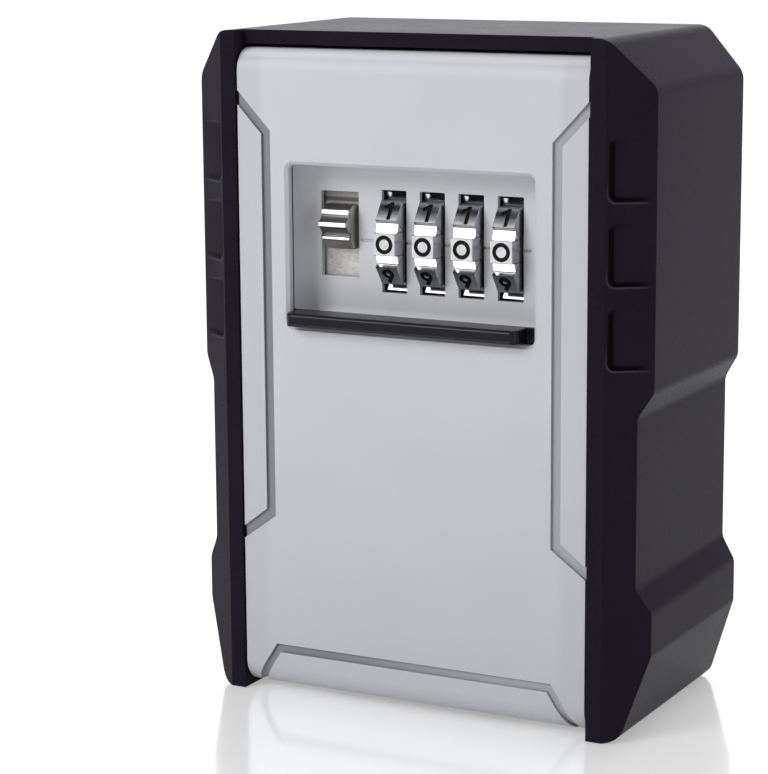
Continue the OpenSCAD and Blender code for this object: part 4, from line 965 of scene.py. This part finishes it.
# %% Floor
FLOOR_HALF, FLOOR_Z, FLOOR_GLOW, FLOOR_MIRROR = 6.0, -0.0002, 0.55, 0.33


def seen_directly(tree):
    """1 for rays from the lens and for those that mirrors or clear parts pass on."""
    path = tree.nodes.new("ShaderNodeLightPath")
    mirrored, through = path.outputs["Is Glossy Ray"], path.outputs["Is Transmission Ray"]
    passed_on = maths(tree, "MAXIMUM", mirrored, through)
    return maths(tree, "MAXIMUM", path.outputs["Is Camera Ray"], passed_on)


def flat_floor():
    """A wide square, 0.2 mm below the safe's foot."""
    mesh = bpy.data.meshes.new("floor")
    square = ((-1, -1), (1, -1), (1, 1), (-1, 1))
    corners = [(x * FLOOR_HALF, y * FLOOR_HALF, FLOOR_Z) for x, y in square]
    mesh.from_pydata(corners, [], [(0, 1, 2, 3)])
    floor = bpy.data.objects.new("floor", mesh)
    bpy.context.scene.collection.objects.link(floor)
    finish, tree, shader, place = new_finish("white_floor", specular=0.2)
    cloud = noise(tree, place, 400.0, 1.0)
    white = blend_colours(tree, cloud, (0.7, 0.7, 0.703), (0.72, 0.72, 0.722))
    tree.links.new(white, shader.inputs["Base Color"])
    tree.links.new(spread(tree, cloud, 0.2, 0.24), shader.inputs["Roughness"])
    glow = tree.nodes.new("ShaderNodeEmission")
    lit = tree.nodes.new("ShaderNodeAddShader")
    tree.links.new(maths(tree, "MULTIPLY", seen_directly(tree), FLOOR_GLOW), glow.inputs["Strength"])
    tree.links.new(shader.outputs[0], lit.inputs[0])
    tree.links.new(glow.outputs[0], lit.inputs[1])
    gloss = tree.nodes.new("ShaderNodeBsdfGlossy")
    gloss.inputs["Color"].default_value = (1.0, 1.0, 1.0, 1.0)
    tree.links.new(spread(tree, cloud, 0.1, 0.13), gloss.inputs["Roughness"])
    blend = tree.nodes.new("ShaderNodeMixShader")
    blend.inputs["Fac"].default_value = FLOOR_MIRROR
    tree.links.new(lit.outputs[0], blend.inputs[1])
    tree.links.new(gloss.outputs[0], blend.inputs[2])
    output = [n for n in tree.nodes if n.type == "OUTPUT_MATERIAL"][0]
    tree.links.new(blend.outputs[0], output.inputs["Surface"])
    mesh.materials.append(finish)
    return floor


floor = flat_floor()
print(floor.name, 2 * FLOOR_HALF, "m across at z =", FLOOR_Z, "m")

# %% [markdown]
# ### A white studio all round
#
# The lens and the reflections see pure white, as in a tent of white cloth.
# Black plastic still stays black in it, because it reflects very little
# straight on and much more at a glance, as its top and side show. The diffuse
# light of this world is a quarter as strong, so that the lamps shape the safe.

# %% World
DIFFUSE_LEVEL = 0.25


def studio_world():
    """White for the camera and in reflections; a plain level for diffuse light."""
    world = bpy.data.worlds.new("studio")
    bpy.context.scene.world = world
    world.use_nodes = True
    tree = world.node_tree
    tree.nodes.clear()
    output = tree.nodes.new("ShaderNodeOutputWorld")
    light = tree.nodes.new("ShaderNodeBackground")
    seen = tree.nodes.new("ShaderNodeBackground")
    mix = tree.nodes.new("ShaderNodeMixShader")
    light.inputs["Color"].default_value = (1.0, 1.0, 1.0, 1.0)
    light.inputs["Strength"].default_value = DIFFUSE_LEVEL
    seen.inputs["Color"].default_value = (1.0, 1.0, 1.0, 1.0)
    tree.links.new(seen_directly(tree), mix.inputs["Fac"])
    tree.links.new(light.outputs[0], mix.inputs[1])
    tree.links.new(seen.outputs[0], mix.inputs[2])
    tree.links.new(mix.outputs[0], output.inputs["Surface"])


studio_world()
print("world:", bpy.context.scene.world.name, "at", DIFFUSE_LEVEL)

# %% [markdown]
# ### Three large lamps
#
# Each lamp is a soft rectangle. The key lamp stands in front on the left and
# gives the ridges their light and shade. The top lamp hangs high behind the
# safe and brightens its upper faces. The right one is weak and far away, and
# keeps the black side from going flat.

# %% Lamps
def soft_lamp(name, at, aim, width, height, power):
    """A rectangular lamp at a place, turned to face another; sizes in metres."""
    data = bpy.data.lights.new(name, "AREA")
    data.shape = "RECTANGLE"
    data.size, data.size_y, data.energy = width, height, power
    lamp = bpy.data.objects.new(name, data)
    back = np.array(at, float) - np.array(aim, float)
    back /= np.linalg.norm(back)
    right = np.cross([0, 0, 1], back)
    right /= np.linalg.norm(right)
    turn = np.eye(4)
    turn[:3, :3] = np.column_stack([right, np.cross(back, right), back])
    turn[:3, 3] = at
    lamp.matrix_world = Matrix(turn.tolist())
    bpy.context.scene.collection.objects.link(lamp)
    return lamp


lamps = [soft_lamp("key", (-0.3, -0.62, 0.47), (0, 0, 0.08), 0.36, 0.36, 3.5),
         soft_lamp("top", (0.05, 0.42, 1.0), (0, 0, 0.07), 0.7, 0.7, 7.0),
         soft_lamp("right", (1.1, -0.15, 0.45), (0, 0, 0.07), 0.5, 0.8, 2.2)]
print("lamps:", [lamp.name for lamp in lamps])
